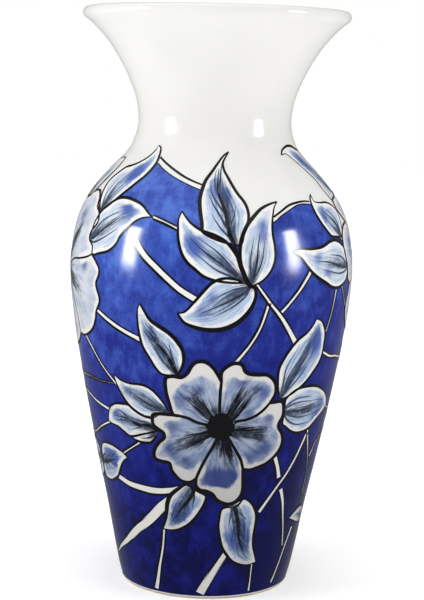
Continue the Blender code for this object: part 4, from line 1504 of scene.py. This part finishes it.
# Soft lights: name, place, (width, height), power and the kind of light that it leaves out.
SOFT_LIGHTS = (
    ("soft_box_left", (-1.21, -0.49, 0.44), (0.25, 0.52), 34.0, "visible_diffuse"),
    ("soft_box_right", (1.21, -0.49, 0.44), (0.25, 0.52), 28.0, "visible_diffuse"),
    ("side_fill_left", (-1.9, -0.5, 1.0), (0.9, 1.2), 12.0, "visible_glossy"),
    ("side_fill_right", (1.9, -0.5, 1.0), (0.9, 1.2), 7.0, "visible_glossy"),
    ("front_fill", (0.0, -2.1, 1.7), (1.6, 1.6), 4.0, "visible_glossy"),
)
LIGHT_AIM = Vector((0, 0, 0.17))
OVERHEAD_POWER = 1.86
OVERHEAD_WIDTH = math.radians(100)
OVERHEAD_TILT = math.radians(8)
FLOOR_REACH = 4.0
FLOOR_GLOW = 0.26
ROOM_LIGHT = 0.28
BACKDROP_LIGHT = 1.0
CAMERA_TILT = math.radians(-7.80)
CAMERA_LEAN = math.radians(1.39)
CAMERA_SWING = math.radians(-0.051)


def lay_floor(context):
    """A pale floor that glows a little, so that it fades into the backdrop."""
    finish, tree = start_finish("pale_floor")
    grain = eased(tree, noise(tree, on_object(tree), 6.0), 0.3, 0.7)
    shader = put(tree, "ShaderNodeBsdfPrincipled", {
        "Base Color": mixed(tree, grain, FLOOR_PALE, FLOOR_DARK),
        "Roughness": 0.8,
        "Emission Color": PLAIN_WHITE,
        "Emission Strength": FLOOR_GLOW,
    })
    put(tree, "ShaderNodeOutputMaterial", {"Surface": shader.outputs["BSDF"]})
    mesh = bpy.data.meshes.new("floor")
    corners = [(x * FLOOR_REACH, y * FLOOR_REACH, 0) for x, y in ((-1, -1), (1, -1), (1, 1), (-1, 1))]
    mesh.from_pydata(corners, [], [(0, 1, 2, 3)])
    mesh.materials.append(finish)
    floor = bpy.data.objects.new("floor", mesh)
    context.scene.collection.objects.link(floor)
    floor.visible_glossy = False


def light_room(context):
    """A plain room: bright behind the vase, softer in the light that it gives."""
    world = bpy.data.worlds.new("studio")
    world.use_nodes = True
    tree = world.node_tree
    tree.nodes.clear()
    room, backdrop = (
        put(tree, "ShaderNodeBackground", {"Color": PLAIN_WHITE, "Strength": light}).outputs[0]
        for light in (ROOM_LIGHT, BACKDROP_LIGHT)
    )
    seen = put(tree, "ShaderNodeLightPath").outputs["Is Camera Ray"]
    both = put(tree, "ShaderNodeMixShader", {0: seen, 1: room, 2: backdrop})
    put(tree, "ShaderNodeOutputWorld", {"Surface": both.outputs[0]})
    context.scene.world = world


def set_lights(context):
    """Soft rectangular lights aimed at the vase, and a wide one overhead."""
    for name, spot, size, power, left_out in SOFT_LIGHTS:
        lamp = bpy.data.lights.new(name, "AREA")
        lamp.shape = "RECTANGLE"
        lamp.energy = power
        lamp.size, lamp.size_y = size
        box = bpy.data.objects.new(name, lamp)
        box.location = spot
        aim = LIGHT_AIM - box.location
        box.rotation_euler = aim.to_track_quat("-Z", "Y").to_euler()
        setattr(box, left_out, False)
        context.scene.collection.objects.link(box)
    lamp = bpy.data.lights.new("overhead_light", "SUN")
    lamp.energy = OVERHEAD_POWER
    lamp.angle = OVERHEAD_WIDTH
    above = bpy.data.objects.new("overhead_light", lamp)
    above.rotation_euler = (OVERHEAD_TILT, 0, 0)
    context.scene.collection.objects.link(above)


def stand_camera(context):
    """The camera in front of the vase, a little below the lip and looking slightly down."""
    lens = bpy.data.cameras.new("camera")
    lens.lens = SETTINGS.lens
    lens.clip_start = 0.01
    camera = bpy.data.objects.new("camera", lens)
    camera.location = (0, -SETTINGS.camera_distance, SETTINGS.camera_height)
    camera.rotation_mode = "QUATERNION"
    level = math.cos(CAMERA_TILT)
    ahead = Vector(
        (-math.sin(CAMERA_SWING) * level, math.cos(CAMERA_SWING) * level, math.sin(CAMERA_TILT))
    )
    camera.rotation_quaternion = ahead.to_track_quat("-Z", "Y")
    camera.rotation_quaternion.rotate(Quaternion(ahead, -CAMERA_LEAN))
    context.scene.collection.objects.link(camera)
    context.scene.camera = camera
    context.scene.view_settings.view_transform = "Standard"


class VASE_OT_set_studio(bpy.types.Operator):
    """Set a pale floor, the room, the soft lights and the camera"""

    bl_idname = "vase.set_studio"
    bl_label = "Set Studio"

    def execute(self, context):
        """Set the studio's parts in order"""
        for step in (lay_floor, light_room, set_lights, stand_camera):
            step(context)
        return {"FINISHED"}


OPERATORS = (
    VASE_OT_turn_clay,
    VASE_OT_dip_coats,
    VASE_OT_brush_ground,
    VASE_OT_draw_stems,
    VASE_OT_paint_leaves,
    VASE_OT_paint_blossoms,
    VASE_OT_set_studio,
)


class VASE_PT_making(bpy.types.Panel):
    """The making of the vase, in order"""

    bl_label = "Painted Vase"
    bl_idname = "VASE_PT_making"
    bl_space_type = "VIEW_3D"
    bl_region_type = "UI"
    bl_category = "Vase"

    def draw(self, context):
        """The settings, then a button for each step"""
        for name in VaseSettings.__annotations__:
            self.layout.prop(context.scene.vase_settings, name)
        for operator in OPERATORS:
            self.layout.operator(operator.bl_idname)


CLASSES = (VaseSettings, *OPERATORS, VASE_PT_making)


def register():
    """Add the settings, the steps and the panel."""
    for cls in CLASSES:
        bpy.utils.register_class(cls)
    bpy.types.Scene.vase_settings = bpy.props.PointerProperty(type=VaseSettings)


def unregister():
    """Take them away again."""
    del bpy.types.Scene.vase_settings
    for cls in reversed(CLASSES):
        bpy.utils.unregister_class(cls)


def main():
    """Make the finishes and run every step."""
    global SETTINGS
    register()
    SETTINGS = bpy.context.scene.vase_settings
    TREES.update(wheel=wheel_tree(), brush=brush_tree())
    PAINTS.update(
        white=white_finish(),
        ink=ink_finish(),
        wash=wash_finish("leaf_wash", 2.3, LEAF_PAINTS),
        petal=wash_finish("petal_wash", 2.5, PETAL_PAINTS, wild=0.24, low=0.45),
    )
    for step in OPERATORS:
        group, name = step.bl_idname.split(".")
        getattr(getattr(bpy.ops, group), name)()


if __name__ == "__main__":
    main()
